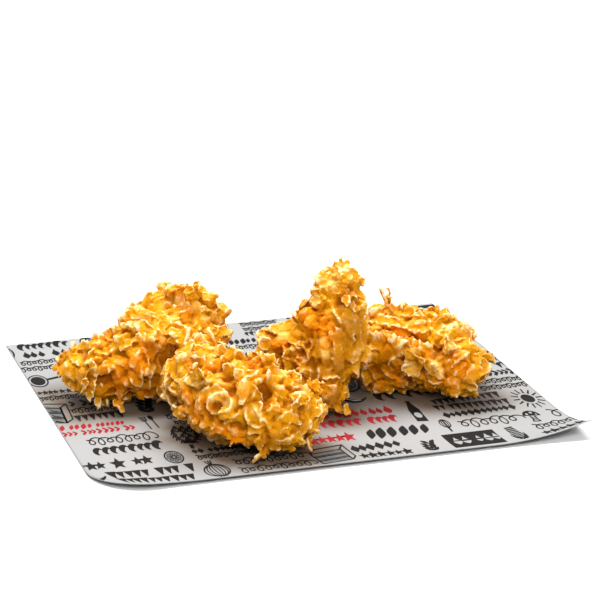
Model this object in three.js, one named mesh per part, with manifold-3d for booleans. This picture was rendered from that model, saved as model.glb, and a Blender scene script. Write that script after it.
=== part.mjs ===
// Four breaded and deep-fried chicken wings lying in a loose group on a thin sheet of greaseproof serving paper.
// Millimetres, +Z up. The origin is the middle of the sheet's underside, +X runs along its long side and -Y is
// the front. Each wing is a smooth body of blended lobes whose crust is relief in the same solid: rounded lumps
// with creases between them, and curled flakes of batter that stand off the surface.

import * as THREE from "three";
import { mergeVertices } from "three/addons/utils/BufferGeometryUtils.js";
import Module from "manifold-3d";

// The serving paper.
const PAPER_WIDTH = 240;
const PAPER_DEPTH = 216;
const PAPER_THICKNESS = 0.4;
const PAPER_CELLS_WIDE = 14;
const PAPER_CELLS_DEEP = 12;
const WORN_CORNER_RADIUS = 27;
const FRONT_EDGE_LIFT = 1.6;
const FRONT_EDGE_REACH = 24;
const RIGHT_TIP_LIFT = 7;
const RIGHT_TIP_REACH = 47;
const LEFT_CORNER_LIFT = 3;
const LEFT_CORNER_REACH = 54;

// How the wings meet the paper and each other.
const RESTING_GAP = 0.3;
const CRUST_FLOOR = PAPER_THICKNESS + RESTING_GAP;
const GAP_BETWEEN_WINGS = 1.1;

// The crust.
const LOBE_BLEND = 8;
const BODY_DETAIL = 10;
const CRAGS = [
  { count: 60, radius: 9.5, height: 4.1, slant: 1.0 },
  { count: 190, radius: 5.6, height: 4.1, slant: 1.2 },
];
const CRAG_SINK = 3.2;
const FLAKE_COUNT = 7;
const FLAKE_SEED = 2000;
const FLAKE_LENGTH = 10;
const FLAKE_WIDTH = 13.5;
const FLAKE_THICKNESS = 1.6;
const FLAKE_ROOT = 1.5;
const FLAKE_TILT = 0.6;
const FLAKE_CURL = 0.7;
const FLAKE_CUP = 0.18;
const FLAKE_RUFFLE = 1.1;
const FLAKE_CELLS_LONG = 2;
const FLAKE_CELLS_WIDE = 2;

// Each wing stands at a spot on the paper, turned to its bearing in degrees. Places in it are a distance along
// and across that bearing and a height over the table. A lobe is such a place and a radius. The heart is a place
// deep inside, from which a straight line reaches every part of the surface. A spur is a flake that marks this
// wing: the side of the body that it grows from, the way that it leans, its length and width and the angle in
// radians at which it leaves the surface.
const WINGS = {
  wing_left: {
    seed: 11,
    spot: [-62, 15.5],
    bearing: 8,
    heart: [0, 0, 24.5],
    lobes: [
      [-36.5, 6, 15.5, 13],
      [-24.5, -3.5, 16, 16],
      [-6.5, -9.5, 21.5, 20],
      [9, 15, 31.5, 15.5],
      [21.5, 5.5, 33.5, 16],
      [10, -7, 20, 18],
      [22.5, -8, 30.5, 11],
    ],
    spurs: [
      { from: [-0.38, 0.16, 0.91], lean: [-0.4, -0.9, 0], length: 7, width: 11.5, tilt: 1.1 },
      { from: [-0.6, -0.6, -0.5], lean: [-0.2, -0.5, -0.8], length: 8, width: 8, tilt: 0.7 },
      { from: [0.3, 0.2, 0.93], lean: [-0.4, -0.9, 0], length: 7, width: 14.5, tilt: 0.8 },
      { from: [-0.1, -0.8, 0.6], lean: [0.9, -0.4, 0.2], length: 10, width: 12.5, tilt: 0.5 },
    ],
  },
  wing_front: {
    seed: 23,
    spot: [-38.5, -59.5],
    bearing: -60,
    heart: [-3.5, -2, 22.5],
    lobes: [
      [-39, 11, 31, 12],
      [-23.5, -4, 26, 16],
      [-1, -5.5, 22, 20],
      [16, -1, 19.5, 18.5],
      [25, 7, 17, 14.5],
    ],
    spurs: [
      { from: [-0.77, 0.23, 0.59], lean: [0.6, -0.7, 0], length: 7, width: 12.5, tilt: 1.0 },
      { from: [0.22, -0.97, 0.14], lean: [0.7, 0.6, 0], length: 9, width: 11, tilt: 0.7 },
      { from: [0.18, 0.35, 0.92], lean: [0.6, -0.7, 0], length: 7, width: 13.5, tilt: 0.9 },
      { from: [0.3, -0.7, -0.65], lean: [0.6, -0.7, 0], length: 7, width: 8, tilt: 0.9 },
    ],
  },
  wing_upright: {
    seed: 37,
    spot: [11, -22.5],
    bearing: -48,
    heart: [3.5, 1, 29.5],
    lobes: [
      [5.5, 12.5, 56, 10.5],
      [12.5, 6, 48.5, 8.5],
      [3, 5, 40.5, 13.5],
      [12.5, 2, 30.5, 11],
      [-16.5, 1, 25, 13.5],
      [-22.5, -4.5, 15.5, 13.5],
      [3, -5, 18, 14.5],
      [13, -13.5, 12, 11],
    ],
    spurs: [
      { from: [-0.01, 0.45, 0.89], lean: [0.5, -0.9, 0], length: 6.5, width: 11, tilt: 1.1 },
      { from: [-0.64, -0.04, 0.76], lean: [0.5, -0.9, 0], length: 7, width: 11, tilt: 0.9 },
      { from: [0, -0.8, 0.6], lean: [0.2, 0, 1], length: 9, width: 11, tilt: 0.5 },
    ],
  },
  wing_right: {
    seed: 53,
    spot: [62, -20.5],
    bearing: -38,
    heart: [0, 0, 19],
    lobes: [
      [-20, -4, 18, 16],
      [-7, 1.5, 19.5, 19],
      [6.5, 4.5, 19, 18.5],
      [22, -5, 16.5, 15],
    ],
    spurs: [
      { from: [-0.34, 0.23, 0.91], lean: [-0.4, -0.6, 0], length: 12.5, width: 6.5, tilt: 1.3 },
      { from: [0.15, 0.46, 0.88], lean: [0.3, -0.9, 0], length: 7, width: 12.5, tilt: 1.0 },
      { from: [0.19, -0.98, 0.05], lean: [0.3, -0.2, 0.9], length: 10, width: 11.5, tilt: 0.6 },
      { from: [0.5, -0.69, 0.52], lean: [0.9, 0.3, 0.2], length: 10, width: 13.5, tilt: 0.6 },
    ],
  },
};

const CRUST_COLOUR = 0xd9902f;
const PAPER_COLOUR = 0xdadada;

const wasm = await Module();
wasm.setup();

// Seeded numbers from 0 to 1, the same on every run.
function randomFrom(seed) {
  let state = seed >>> 0;
  return () => {
    state = (state + 0x6d2b79f5) >>> 0;
    let mixed = Math.imul(state ^ (state >>> 15), state | 1);
    mixed ^= mixed + Math.imul(mixed ^ (mixed >>> 7), mixed | 61);
    return ((mixed ^ (mixed >>> 14)) >>> 0) / 4294967296;
  };
}

// A vector that points any way.
function anyVector(random) {
  return new THREE.Vector3(random() - 0.5, random() - 0.5, random() - 0.5);
}

// The wing's lobes set out on the paper.
function placed(wing) {
  const up = new THREE.Vector3(0, 0, 1);
  const angle = THREE.MathUtils.degToRad(wing.bearing);
  const turned = (p) => p.clone().applyAxisAngle(up, angle);
  const toPaper = (a, b, c) =>
    turned(new THREE.Vector3(a, b, c)).add(new THREE.Vector3(...wing.spot, 0));
  const halves = [0, 1, 2].map((k) => {
    const low = Math.min(...wing.lobes.map((lobe) => lobe[k] - lobe[3]));
    const high = Math.max(...wing.lobes.map((lobe) => lobe[k] + lobe[3]));
    return (high - low) / 2;
  });
  const half = new THREE.Vector3(...halves);
  return {
    ...wing,
    balls: wing.lobes.map(([a, b, c, radius]) => ({
      centre: toPaper(a, b, c),
      radius,
    })),
    heart: toPaper(...wing.heart),
    turned,
    // A point of the unit sphere, spread over the wing's long form, as a direction from its heart.
    direction: (p) => turned(p.clone().multiply(half)).normalize(),
  };
}

// Distance from a point to the smooth body, blended from lobe to lobe.
function bodyDistance(point, wing) {
  let distance = null;
  for (const { centre, radius } of wing.balls) {
    const d = point.distanceTo(centre) - radius;
    if (distance === null) {
      distance = d;
      continue;
    }
    const share = THREE.MathUtils.clamp(
      0.5 + (0.5 * (d - distance)) / LOBE_BLEND,
      0,
      1,
    );
    distance =
      d * (1 - share) + distance * share - LOBE_BLEND * share * (1 - share);
  }
  return distance;
}

function bodyNormal(point, wing) {
  const step = 0.5;
  const slope = ["x", "y", "z"].map((axis) => {
    const ahead = point.clone();
    const behind = point.clone();
    ahead[axis] += step;
    behind[axis] -= step;
    return bodyDistance(ahead, wing) - bodyDistance(behind, wing);
  });
  return new THREE.Vector3(...slope).normalize();
}

// Whether a point is on the wing's own side of the gap halfway to each of the other wings.
function isOnOwnSide(point, wing, others) {
  const own = bodyDistance(point, wing);
  return others.every(
    (other) => bodyDistance(point, other) - own > GAP_BETWEEN_WINGS,
  );
}

// Where a ray from the wing's heart leaves the smooth body.
function bodyPoint(direction, wing) {
  const farthest = 90;
  let reach = farthest;
  for (let step = 0; step < 60; step++) {
    const point = wing.heart.clone().addScaledVector(direction, reach);
    const distance = bodyDistance(point, wing);
    if (Math.abs(distance) < 0.02) break;
    reach -= distance * 0.8;
  }
  return wing.heart.clone().addScaledVector(direction, reach);
}

// Evenly spread directions on the unit sphere, each moved a little at random.
function spread(count, random, jitter) {
  const golden = Math.PI * (3 - Math.sqrt(5));
  return Array.from({ length: count }, (_, i) => {
    const z = 1 - (2 * i + 1) / count;
    const ring = Math.sqrt(1 - z * z);
    return new THREE.Vector3(
      ring * Math.cos(golden * i) + jitter * (random() - 0.5),
      ring * Math.sin(golden * i) + jitter * (random() - 0.5),
      z + jitter * (random() - 0.5),
    ).normalize();
  });
}

// Crags over the body, coarse and fine: domes that slope to one side, with a crease wherever two of a kind meet.
function cragsOf(wing) {
  const random = randomFrom(wing.seed);
  return CRAGS.map(({ count, radius, height, slant }) =>
    spread(count, random, 0.24).map((p) => ({
      centre: bodyPoint(wing.direction(p), wing),
      radius: radius * (0.7 + 0.6 * random()),
      height: height * (0.5 + 0.8 * random()),
      slope: anyVector(random).normalize().multiplyScalar(slant),
    })),
  );
}

function cragHeight(point, crags) {
  let total = -CRAG_SINK;
  for (const layer of crags) {
    let best = 0;
    for (const { centre, radius, height, slope } of layer) {
      const offset = point.clone().sub(centre).divideScalar(radius);
      const dome = Math.max(0, 1 - offset.lengthSq());
      best = Math.max(best, height * dome * (1 + offset.dot(slope)));
    }
    total += best;
  }
  return total;
}

// A closed mesh from points and triangles, as a solid.
function solidFrom(points, triangles) {
  const made = new wasm.Mesh({
    numProp: 3,
    vertProperties: new Float32Array(points.flatMap((p) => [p.x, p.y, p.z])),
    triVerts: new Uint32Array(triangles.flat()),
  });
  return new wasm.Manifold(made);
}

// The body with its crags: a sphere's faces, each corner moved out along its ray.
function bodySolid(wing, others) {
  const ball = new THREE.IcosahedronGeometry(1, BODY_DETAIL);
  ball.deleteAttribute("normal");
  ball.deleteAttribute("uv");
  const merged = mergeVertices(ball, 1e-4);
  const corners = merged.attributes.position;
  const crags = cragsOf(wing);
  const points = [];
  for (let i = 0; i < corners.count; i++) {
    const direction = wing.direction(
      new THREE.Vector3().fromBufferAttribute(corners, i),
    );
    const point = bodyPoint(direction, wing);
    point.addScaledVector(direction, cragHeight(point, crags));
    while (!isOnOwnSide(point, wing, others))
      point.addScaledVector(direction, -0.25);
    point.z = Math.max(point.z, CRUST_FLOOR);
    points.push(point);
  }
  const index = Array.from(merged.index.array);
  const triangles = [];
  for (let i = 0; i < index.length; i += 3)
    triangles.push(index.slice(i, i + 3));
  return solidFrom(points, triangles);
}

// One curled flake: a petal that leaves the body at its root, bends along its length, cups and ruffles.
function flakePoints(flake) {
  const { root, normal, tangent, length, width, tilt, curl, wave } = flake;
  const side = new THREE.Vector3().crossVectors(normal, tangent);
  const sheets = [-1, 1].map((face) => {
    const points = [];
    for (let i = 0; i <= FLAKE_CELLS_LONG; i++) {
      const u = i / FLAKE_CELLS_LONG;
      const angle = tilt + curl * u;
      const forward = (length / curl) * (Math.sin(angle) - Math.sin(tilt));
      const rise = (length / curl) * (Math.cos(tilt) - Math.cos(angle));
      const half =
        (width / 2) * Math.sqrt(1 - Math.pow((u - 0.45) / 0.62, 2));
      const facing = tangent
        .clone()
        .multiplyScalar(-Math.sin(angle))
        .addScaledVector(normal, Math.cos(angle));
      for (let j = 0; j <= FLAKE_CELLS_WIDE; j++) {
        const v = (2 * j) / FLAKE_CELLS_WIDE - 1;
        const thickness =
          FLAKE_THICKNESS * (1 - 0.45 * u * u) * (1 - 0.35 * v * v);
        const bend =
          FLAKE_CUP * half * v * v +
          FLAKE_RUFFLE * u * Math.sin(2.4 * v + wave);
        points.push(
          root
            .clone()
            .addScaledVector(tangent, forward)
            .addScaledVector(normal, rise)
            .addScaledVector(side, half * v)
            .addScaledVector(facing, bend + (face * thickness) / 2),
        );
      }
    }
    return points;
  });
  return sheets.flat();
}

// The triangles of a slab: two alike grids of points, lower then upper, joined round their rim.
function slabTriangles(cellsLong, cellsWide) {
  const row = cellsWide + 1;
  const layer = (cellsLong + 1) * row;
  const triangles = [];
  const quad = (a, b, c, d) => triangles.push([a, b, c], [a, c, d]);
  for (let i = 0; i < cellsLong; i++) {
    for (let j = 0; j < cellsWide; j++) {
      const a = i * row + j;
      const b = a + row;
      quad(a, a + 1, b + 1, b);
      quad(a + layer, b + layer, b + 1 + layer, a + 1 + layer);
    }
  }
  const rim = [];
  for (let i = 0; i < cellsLong; i++) rim.push(i * row);
  for (let j = 0; j < cellsWide; j++) rim.push(cellsLong * row + j);
  for (let i = cellsLong; i > 0; i--) rim.push(i * row + cellsWide);
  for (let j = cellsWide; j > 0; j--) rim.push(j);
  rim.forEach((a, k) => {
    const b = rim[(k + 1) % rim.length];
    quad(a, b, b + layer, a + layer);
  });
  return triangles;
}

const FLAKE_TRIANGLES = slabTriangles(FLAKE_CELLS_LONG, FLAKE_CELLS_WIDE);

// A flake that would touch the paper or another wing is shortened, and left out if that isn't enough.
function fittedFlake(flake, wing, others) {
  for (const share of [1, 0.75, 0.55]) {
    const points = flakePoints({
      ...flake,
      length: flake.length * share,
      width: flake.width * share,
    });
    const isClear = points.every(
      (point) => point.z > CRUST_FLOOR && isOnOwnSide(point, wing, others),
    );
    if (isClear) return solidFrom(points, FLAKE_TRIANGLES);
  }
  return null;
}

// The wing's spurs, then an even scatter of flakes that lean any way.
function flakeSolids(wing, others) {
  const random = randomFrom(wing.seed + FLAKE_SEED);
  const planned = wing.spurs.map((spur) => ({
    ...spur,
    from: new THREE.Vector3(...spur.from),
    lean: wing.turned(new THREE.Vector3(...spur.lean)),
  }));
  for (const from of spread(FLAKE_COUNT, random, 0.3)) {
    planned.push({
      from,
      lean: anyVector(random),
      length: FLAKE_LENGTH * (0.75 + 0.5 * random()),
      width: FLAKE_WIDTH * (0.65 + 0.6 * random()),
      tilt: FLAKE_TILT * (0.5 + random()),
    });
  }
  const made = planned.map(({ from, lean, length, width, tilt }) => {
    const surface = bodyPoint(wing.direction(from), wing);
    const normal = bodyNormal(surface, wing);
    const flake = {
      root: surface.addScaledVector(normal, -FLAKE_ROOT),
      normal,
      tangent: lean.addScaledVector(normal, -lean.dot(normal)).normalize(),
      length: length + FLAKE_ROOT,
      width,
      tilt,
      curl: FLAKE_CURL * (0.3 + random()),
      wave: 2 * Math.PI * random(),
    };
    return fittedFlake(flake, wing, others);
  });
  return made.filter((solid) => solid !== null);
}

// A solid as a named mesh.
function meshOf(solid, name, material) {
  const { vertProperties, triVerts, numProp } = solid.getMesh();
  const positions = [];
  for (let i = 0; i < vertProperties.length; i += numProp)
    positions.push(...vertProperties.slice(i, i + 3));
  const geometry = new THREE.BufferGeometry();
  geometry.setAttribute(
    "position",
    new THREE.Float32BufferAttribute(positions, 3),
  );
  geometry.setIndex(Array.from(triVerts));
  const mesh = new THREE.Mesh(geometry, material);
  mesh.name = name;
  return mesh;
}

// The largest closed piece, which drops a loose scrap and fills a sealed hollow.
function mainPiece(solid) {
  return solid
    .decompose()
    .reduce((best, piece) => (piece.volume() > best.volume() ? piece : best));
}

// How far the paper's underside is lifted off the table near its front edge and front corners.
function paperLift(x, y) {
  const fromFront = y + PAPER_DEPTH / 2;
  const fromRightTip = PAPER_WIDTH / 2 - x + fromFront;
  const fromLeftCorner = x + PAPER_WIDTH / 2 + fromFront;
  const ease = (distance, reach) => Math.pow(Math.max(0, 1 - distance / reach), 2);
  return (
    FRONT_EDGE_LIFT * ease(fromFront, FRONT_EDGE_REACH) +
    RIGHT_TIP_LIFT * ease(fromRightTip, RIGHT_TIP_REACH) +
    LEFT_CORNER_LIFT * ease(fromLeftCorner, LEFT_CORNER_REACH)
  );
}

// The front-left corner is worn round: the square corner's points are drawn in to a quarter circle.
function wornCorner(x, y) {
  const u = -(x + PAPER_WIDTH / 2 - WORN_CORNER_RADIUS) / WORN_CORNER_RADIUS;
  const v = -(y + PAPER_DEPTH / 2 - WORN_CORNER_RADIUS) / WORN_CORNER_RADIUS;
  if (u <= 0 || v <= 0) return [x, y];
  return [
    x + WORN_CORNER_RADIUS * u * (1 - Math.sqrt(1 - (v * v) / 2)),
    y + WORN_CORNER_RADIUS * v * (1 - Math.sqrt(1 - (u * u) / 2)),
  ];
}

// The sheet: two alike grids of points, closer together towards the edges.
function paperSolid() {
  const points = [];
  for (const height of [0, PAPER_THICKNESS]) {
    for (let i = 0; i <= PAPER_CELLS_WIDE; i++) {
      const acrossShare = Math.sin(Math.PI * (i / PAPER_CELLS_WIDE - 0.5));
      for (let j = 0; j <= PAPER_CELLS_DEEP; j++) {
        const deepShare = Math.sin(Math.PI * (j / PAPER_CELLS_DEEP - 0.5));
        const [x, y] = wornCorner(
          (PAPER_WIDTH / 2) * acrossShare,
          (PAPER_DEPTH / 2) * deepShare,
        );
        points.push(new THREE.Vector3(x, y, paperLift(x, y) + height));
      }
    }
  }
  return solidFrom(points, slabTriangles(PAPER_CELLS_WIDE, PAPER_CELLS_DEEP));
}

const crust = new THREE.MeshStandardMaterial({
  color: CRUST_COLOUR,
  roughness: 0.5,
  metalness: 0,
});
const paper = new THREE.MeshStandardMaterial({
  color: PAPER_COLOUR,
  roughness: 0.7,
  metalness: 0,
});

const group = new THREE.Group();
group.add(meshOf(paperSolid(), "paper_liner", paper));

const wings = Object.entries(WINGS).map(([name, wing]) => ({
  name,
  ...placed(wing),
}));
for (const wing of wings) {
  const others = wings.filter((other) => other !== wing);
  const solid = wasm.Manifold.union([
    bodySolid(wing, others),
    ...flakeSolids(wing, others),
  ]);
  group.add(meshOf(mainPiece(solid), wing.name, crust));
}

export default group;
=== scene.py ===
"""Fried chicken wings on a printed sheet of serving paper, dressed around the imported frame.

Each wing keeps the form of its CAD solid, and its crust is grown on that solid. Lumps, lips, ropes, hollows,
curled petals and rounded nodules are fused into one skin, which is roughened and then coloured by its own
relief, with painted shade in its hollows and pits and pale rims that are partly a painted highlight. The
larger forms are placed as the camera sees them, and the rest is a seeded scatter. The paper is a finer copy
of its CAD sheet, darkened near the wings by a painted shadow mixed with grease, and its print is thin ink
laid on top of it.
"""

import logging
import math
from dataclasses import dataclass, field
from enum import Enum

import bpy
import numpy as np
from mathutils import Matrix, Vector, noise
from mathutils.bvhtree import BVHTree
from mathutils.kdtree import KDTree


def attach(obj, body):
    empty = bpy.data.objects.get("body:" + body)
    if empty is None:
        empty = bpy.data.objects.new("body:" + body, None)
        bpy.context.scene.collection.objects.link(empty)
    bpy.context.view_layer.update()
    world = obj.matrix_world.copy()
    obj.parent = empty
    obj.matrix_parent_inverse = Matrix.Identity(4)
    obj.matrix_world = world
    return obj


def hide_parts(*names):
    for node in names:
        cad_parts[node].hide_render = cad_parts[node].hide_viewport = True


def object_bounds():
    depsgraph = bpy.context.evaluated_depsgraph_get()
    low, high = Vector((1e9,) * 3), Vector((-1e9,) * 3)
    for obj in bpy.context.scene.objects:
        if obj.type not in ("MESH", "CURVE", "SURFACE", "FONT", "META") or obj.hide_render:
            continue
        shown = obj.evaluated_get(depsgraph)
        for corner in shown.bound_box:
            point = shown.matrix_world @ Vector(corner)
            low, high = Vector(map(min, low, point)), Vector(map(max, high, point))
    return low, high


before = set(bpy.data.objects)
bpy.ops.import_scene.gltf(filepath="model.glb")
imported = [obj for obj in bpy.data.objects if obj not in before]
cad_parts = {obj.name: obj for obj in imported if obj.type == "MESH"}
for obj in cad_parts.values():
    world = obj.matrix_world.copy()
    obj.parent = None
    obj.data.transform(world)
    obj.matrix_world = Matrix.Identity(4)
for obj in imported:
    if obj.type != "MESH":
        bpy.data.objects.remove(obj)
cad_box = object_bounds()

log = logging.getLogger("wings")
MM = 0.001
NOISE_SEED = 1
Colour = tuple[float, float, float]


# Modelling helpers


def deselect_all() -> None:
    """Leaves nothing selected, because an operator acts on all that is."""
    bpy.ops.object.select_all(action="DESELECT")


def make_active(piece: bpy.types.Object) -> None:
    """Selects one object alone and makes it the active one.

    Args:
        piece: The object.
    """
    deselect_all()
    piece.select_set(True)
    bpy.context.view_layer.objects.active = piece


def apply_modifier(piece: bpy.types.Object, kind: str, **settings: object) -> None:
    """Adds a modifier to a piece and applies it at once.

    Args:
        piece: The object to change.
        kind: The modifier's type.
        **settings: The modifier's own properties.
    """
    make_active(piece)
    modifier = piece.modifiers.new(kind.lower(), kind)
    for name, value in settings.items():
        setattr(modifier, name, value)
    bpy.ops.object.modifier_apply(modifier=modifier.name)


def read_points(mesh: bpy.types.Mesh) -> np.ndarray:
    """Reads a mesh's corner points.

    Args:
        mesh: The mesh.

    Returns:
        Rows of x, y, z in its own units.
    """
    flat = np.empty(len(mesh.vertices) * 3, dtype=np.float32)
    mesh.vertices.foreach_get("co", flat)
    return flat.reshape(-1, 3).astype(np.float64)


def write_points(mesh: bpy.types.Mesh, points: np.ndarray) -> None:
    """Moves a mesh's corner points to the given rows."""
    mesh.vertices.foreach_set("co", points.astype(np.float32).ravel())
    mesh.update()


def read_normals(mesh: bpy.types.Mesh) -> np.ndarray:
    """Reads the outward direction at each corner point.

    Args:
        mesh: The mesh.

    Returns:
        Rows of unit vectors.
    """
    flat = np.empty(len(mesh.vertices) * 3, dtype=np.float32)
    mesh.vertex_normals.foreach_get("vector", flat)
    return flat.reshape(-1, 3).astype(np.float64)


def read_triangles(mesh: bpy.types.Mesh) -> np.ndarray:
    """Reads the triangles of a mesh, its faces split where they have more sides.

    Args:
        mesh: The mesh.

    Returns:
        Rows of three corner numbers.
    """
    mesh.calc_loop_triangles()
    flat = np.empty(len(mesh.loop_triangles) * 3, dtype=np.int32)
    mesh.loop_triangles.foreach_get("vertices", flat)
    return flat.reshape(-1, 3)


def mesh_from_triangles(name: str, points: np.ndarray, triangles: np.ndarray) -> bpy.types.Mesh:
    """Makes a mesh of triangles.

    Args:
        name: The mesh's name.
        points: Rows of x, y, z.
        triangles: Rows of three corner numbers.

    Returns:
        The new mesh.
    """
    mesh = bpy.data.meshes.new(name)
    mesh.vertices.add(len(points))
    mesh.vertices.foreach_set("co", points.astype(np.float32).ravel())
    mesh.loops.add(len(triangles) * 3)
    mesh.loops.foreach_set("vertex_index", triangles.astype(np.int32).ravel())
    mesh.polygons.add(len(triangles))
    mesh.polygons.foreach_set("loop_start", np.arange(0, len(triangles) * 3, 3, dtype=np.int32))
    mesh.update(calc_edges=True)
    return mesh


def discard(piece: bpy.types.Object) -> None:
    """Removes a piece and its mesh from the scene.

    Args:
        piece: The object.
    """
    mesh = piece.data
    bpy.data.objects.remove(piece)
    bpy.data.meshes.remove(mesh)


def put_in_order(piece: bpy.types.Object) -> None:
    """Sorts a remeshed piece's points and faces by place, because each run may number them differently.

    Args:
        piece: The piece, whose faces all have four sides.
    """
    points = read_points(piece.data)
    order = np.lexsort(points.T)
    rank = np.empty(len(order), dtype=np.int32)
    rank[order] = np.arange(len(order))
    faces = np.empty(len(piece.data.loops), dtype=np.int32)
    piece.data.loops.foreach_get("vertex_index", faces)
    faces = rank[faces].reshape(-1, 4)
    turned = (np.arange(4)[None] + faces.argmin(axis=1)[:, None]) % 4
    faces = np.take_along_axis(faces, turned, axis=1)
    faces = faces[np.lexsort(faces.T[::-1])]
    old = piece.data
    piece.data = bpy.data.meshes.new(old.name)
    piece.data.from_pydata(points[order].tolist(), [], faces.tolist())
    bpy.data.meshes.remove(old)


def largest_part(piece: bpy.types.Object) -> bpy.types.Object:
    """Keeps only the largest of a piece's unconnected parts.

    Args:
        piece: The piece.

    Returns:
        The object that holds the largest part, under the piece's name.
    """
    name = piece.name
    make_active(piece)
    bpy.ops.object.mode_set(mode="EDIT")
    bpy.ops.mesh.select_all(action="SELECT")
    bpy.ops.mesh.separate(type="LOOSE")
    bpy.ops.object.mode_set(mode="OBJECT")
    parts = sorted(bpy.context.selected_objects, key=lambda part: len(part.data.vertices))
    for part in parts[:-1]:
        discard(part)
    parts[-1].name = name
    return parts[-1]


def shade_smooth(piece: bpy.types.Object) -> None:
    """Shades a piece smoothly all over."""
    piece.data.polygons.foreach_set("use_smooth", np.ones(len(piece.data.polygons), dtype=bool))
    piece.data.update()


def unit(rows: np.ndarray) -> np.ndarray:
    """Returns the rows scaled to length one."""
    return rows / np.maximum(np.linalg.norm(rows, axis=-1, keepdims=True), 1e-9)


def noise_directions(points: np.ndarray, size: float, seed: int) -> np.ndarray:
    """Returns a direction at each point that turns slowly from place to place.

    Args:
        points: Rows of x, y, z in millimetres.
        size: The distance over which the direction changes, in millimetres.
        seed: Shifts the pattern, so that each wing has its own.

    Returns:
        Rows of unit vectors.
    """
    shift = Vector((seed * 7.31, seed * 3.17, seed * 5.53))
    rows = [noise.noise_vector(Vector(p) / size + shift) for p in points]
    return unit(np.array(rows))


def tree_of(places: np.ndarray) -> KDTree:
    """Makes a tree that finds the nearest of some places.

    Args:
        places: Rows of x, y, z.

    Returns:
        The tree.
    """
    tree = KDTree(len(places))
    for i, place in enumerate(places):
        tree.insert(place, i)
    tree.balance()
    return tree


def laid_out(centres: np.ndarray, shapes: np.ndarray, axes: tuple[np.ndarray, ...]) -> np.ndarray:
    """Places one shape at each centre.

    Args:
        centres: Rows of x, y, z.
        shapes: The points of each shape along its own three axes.
        axes: The three axes, each with a row for every shape.

    Returns:
        The points of each shape in its place.
    """
    points = centres[:, None]
    for k, axis in enumerate(axes):
        points = points + shapes[..., k : k + 1] * axis[:, None]
    return points


# Shader helpers


class Channel:
    """One value inside a material, so that shader maths reads as an ordinary expression."""

    def __init__(self, shader: "Shader", socket: bpy.types.NodeSocket) -> None:
        """Wraps one output socket of a node of the shader."""
        self.shader = shader
        self.socket = socket

    def _maths(self, operation: str, first: object, second: object) -> "Channel":
        """Adds one Math node for the operation on two values."""
        made = self.shader.node("ShaderNodeMath", {"operation": operation}, {0: first, 1: second})
        return Channel(self.shader, made.outputs[0])

    def __add__(self, other: object) -> "Channel":
        """Adds the other value."""
        return self._maths("ADD", self, other)

    def __radd__(self, other: object) -> "Channel":
        """Is added to the other value."""
        return self._maths("ADD", other, self)

    def __sub__(self, other: object) -> "Channel":
        """Takes the other value away."""
        return self._maths("SUBTRACT", self, other)

    def __rsub__(self, other: object) -> "Channel":
        """Is taken away from the other value."""
        return self._maths("SUBTRACT", other, self)

    def __mul__(self, other: object) -> "Channel":
        """Multiplies by the other value."""
        return self._maths("MULTIPLY", self, other)

    def __rmul__(self, other: object) -> "Channel":
        """Multiplies the other value."""
        return self._maths("MULTIPLY", other, self)

    def between(self, low: float, high: float) -> "Channel":
        """Rises smoothly from 0 to 1.

        Args:
            low: The value where it starts.
            high: The value where it ends.

        Returns:
            The new value.
        """
        settings = {"interpolation_type": "SMOOTHSTEP", "clamp": True}
        inputs = {"Value": self, "From Min": low, "From Max": high}
        made = self.shader.node("ShaderNodeMapRange", settings, inputs)
        return Channel(self.shader, made.outputs["Result"])


class Shader:
    """Builds the nodes of one material."""

    def __init__(self, name: str) -> None:
        """Starts a material with only its Principled shader and its output."""
        self.material = bpy.data.materials.new(name)
        self.material.use_nodes = True
        self.tree = self.material.node_tree
        self.principled = self.tree.nodes["Principled BSDF"]

    def node(self, kind: str, settings: dict[str, object], inputs: dict[object, object]) -> bpy.types.Node:
        """Adds one node.

        Args:
            kind: The node's type.
            settings: The node's own properties, set first.
            inputs: Values or Channels, by socket name or number.

        Returns:
            The new node.
        """
        made = self.tree.nodes.new(kind)
        for name, value in settings.items():
            setattr(made, name, value)
        for key, value in inputs.items():
            if isinstance(value, Channel):
                self.tree.links.new(value.socket, made.inputs[key])
            else:
                made.inputs[key].default_value = value
        return made

    def attribute(self, name: str) -> Channel:
        """Reads a number stored on the mesh's points."""
        made = self.node("ShaderNodeAttribute", {"attribute_name": name}, {})
        return Channel(self, made.outputs["Fac"])

    def position(self) -> Channel:
        """Reads the place on the piece, in metres."""
        return Channel(self, self.node("ShaderNodeTexCoord", {}, {}).outputs["Object"])

    def noise(self, size: float, detail: float, place: Channel) -> Channel:
        """Makes a cloudy pattern from 0 to 1 whose blotches are of the given size in metres."""
        inputs = {"Vector": place, "Scale": 1 / size, "Detail": detail}
        return Channel(self, self.node("ShaderNodeTexNoise", {}, inputs).outputs["Fac"])

    def blend(self, share: Channel, low: object, high: object, mode: str = "MIX") -> Channel:
        """Mixes two colours.

        Args:
            share: The share of the second, from 0 to 1.
            low: The first colour.
            high: The second colour.
            mode: How they are mixed.

        Returns:
            The mixed colour.
        """
        settings = {"data_type": "RGBA", "blend_type": mode, "clamp_factor": True}
        made = self.node("ShaderNodeMix", settings, {0: share, 6: low, 7: high})
        return Channel(self, made.outputs[2])

    def bump(self, height: Channel, distance: float, strength: float) -> Channel:
        """Turns a height pattern into a bent normal; distance is the pattern's height in metres."""
        inputs = {"Height": height, "Distance": distance, "Strength": strength}
        return Channel(self, self.node("ShaderNodeBump", {}, inputs).outputs["Normal"])

    def feed(self, **sockets: object) -> bpy.types.Material:
        """Sets the Principled shader's sockets, named with underscores for spaces.

        Args:
            **sockets: Plain values, or Channels for what changes over the surface.

        Returns:
            The finished material.
        """
        for name, value in sockets.items():
            socket = self.principled.inputs[name.replace("_", " ")]
            if isinstance(value, Channel):
                self.tree.links.new(value.socket, socket)
            else:
                socket.default_value = value
        return self.material


def paint(colour: Colour) -> tuple[float, float, float, float]:
    """Returns a colour with full alpha, as a node's socket wants it."""
    return (*colour, 1.0)


# Finishes


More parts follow.
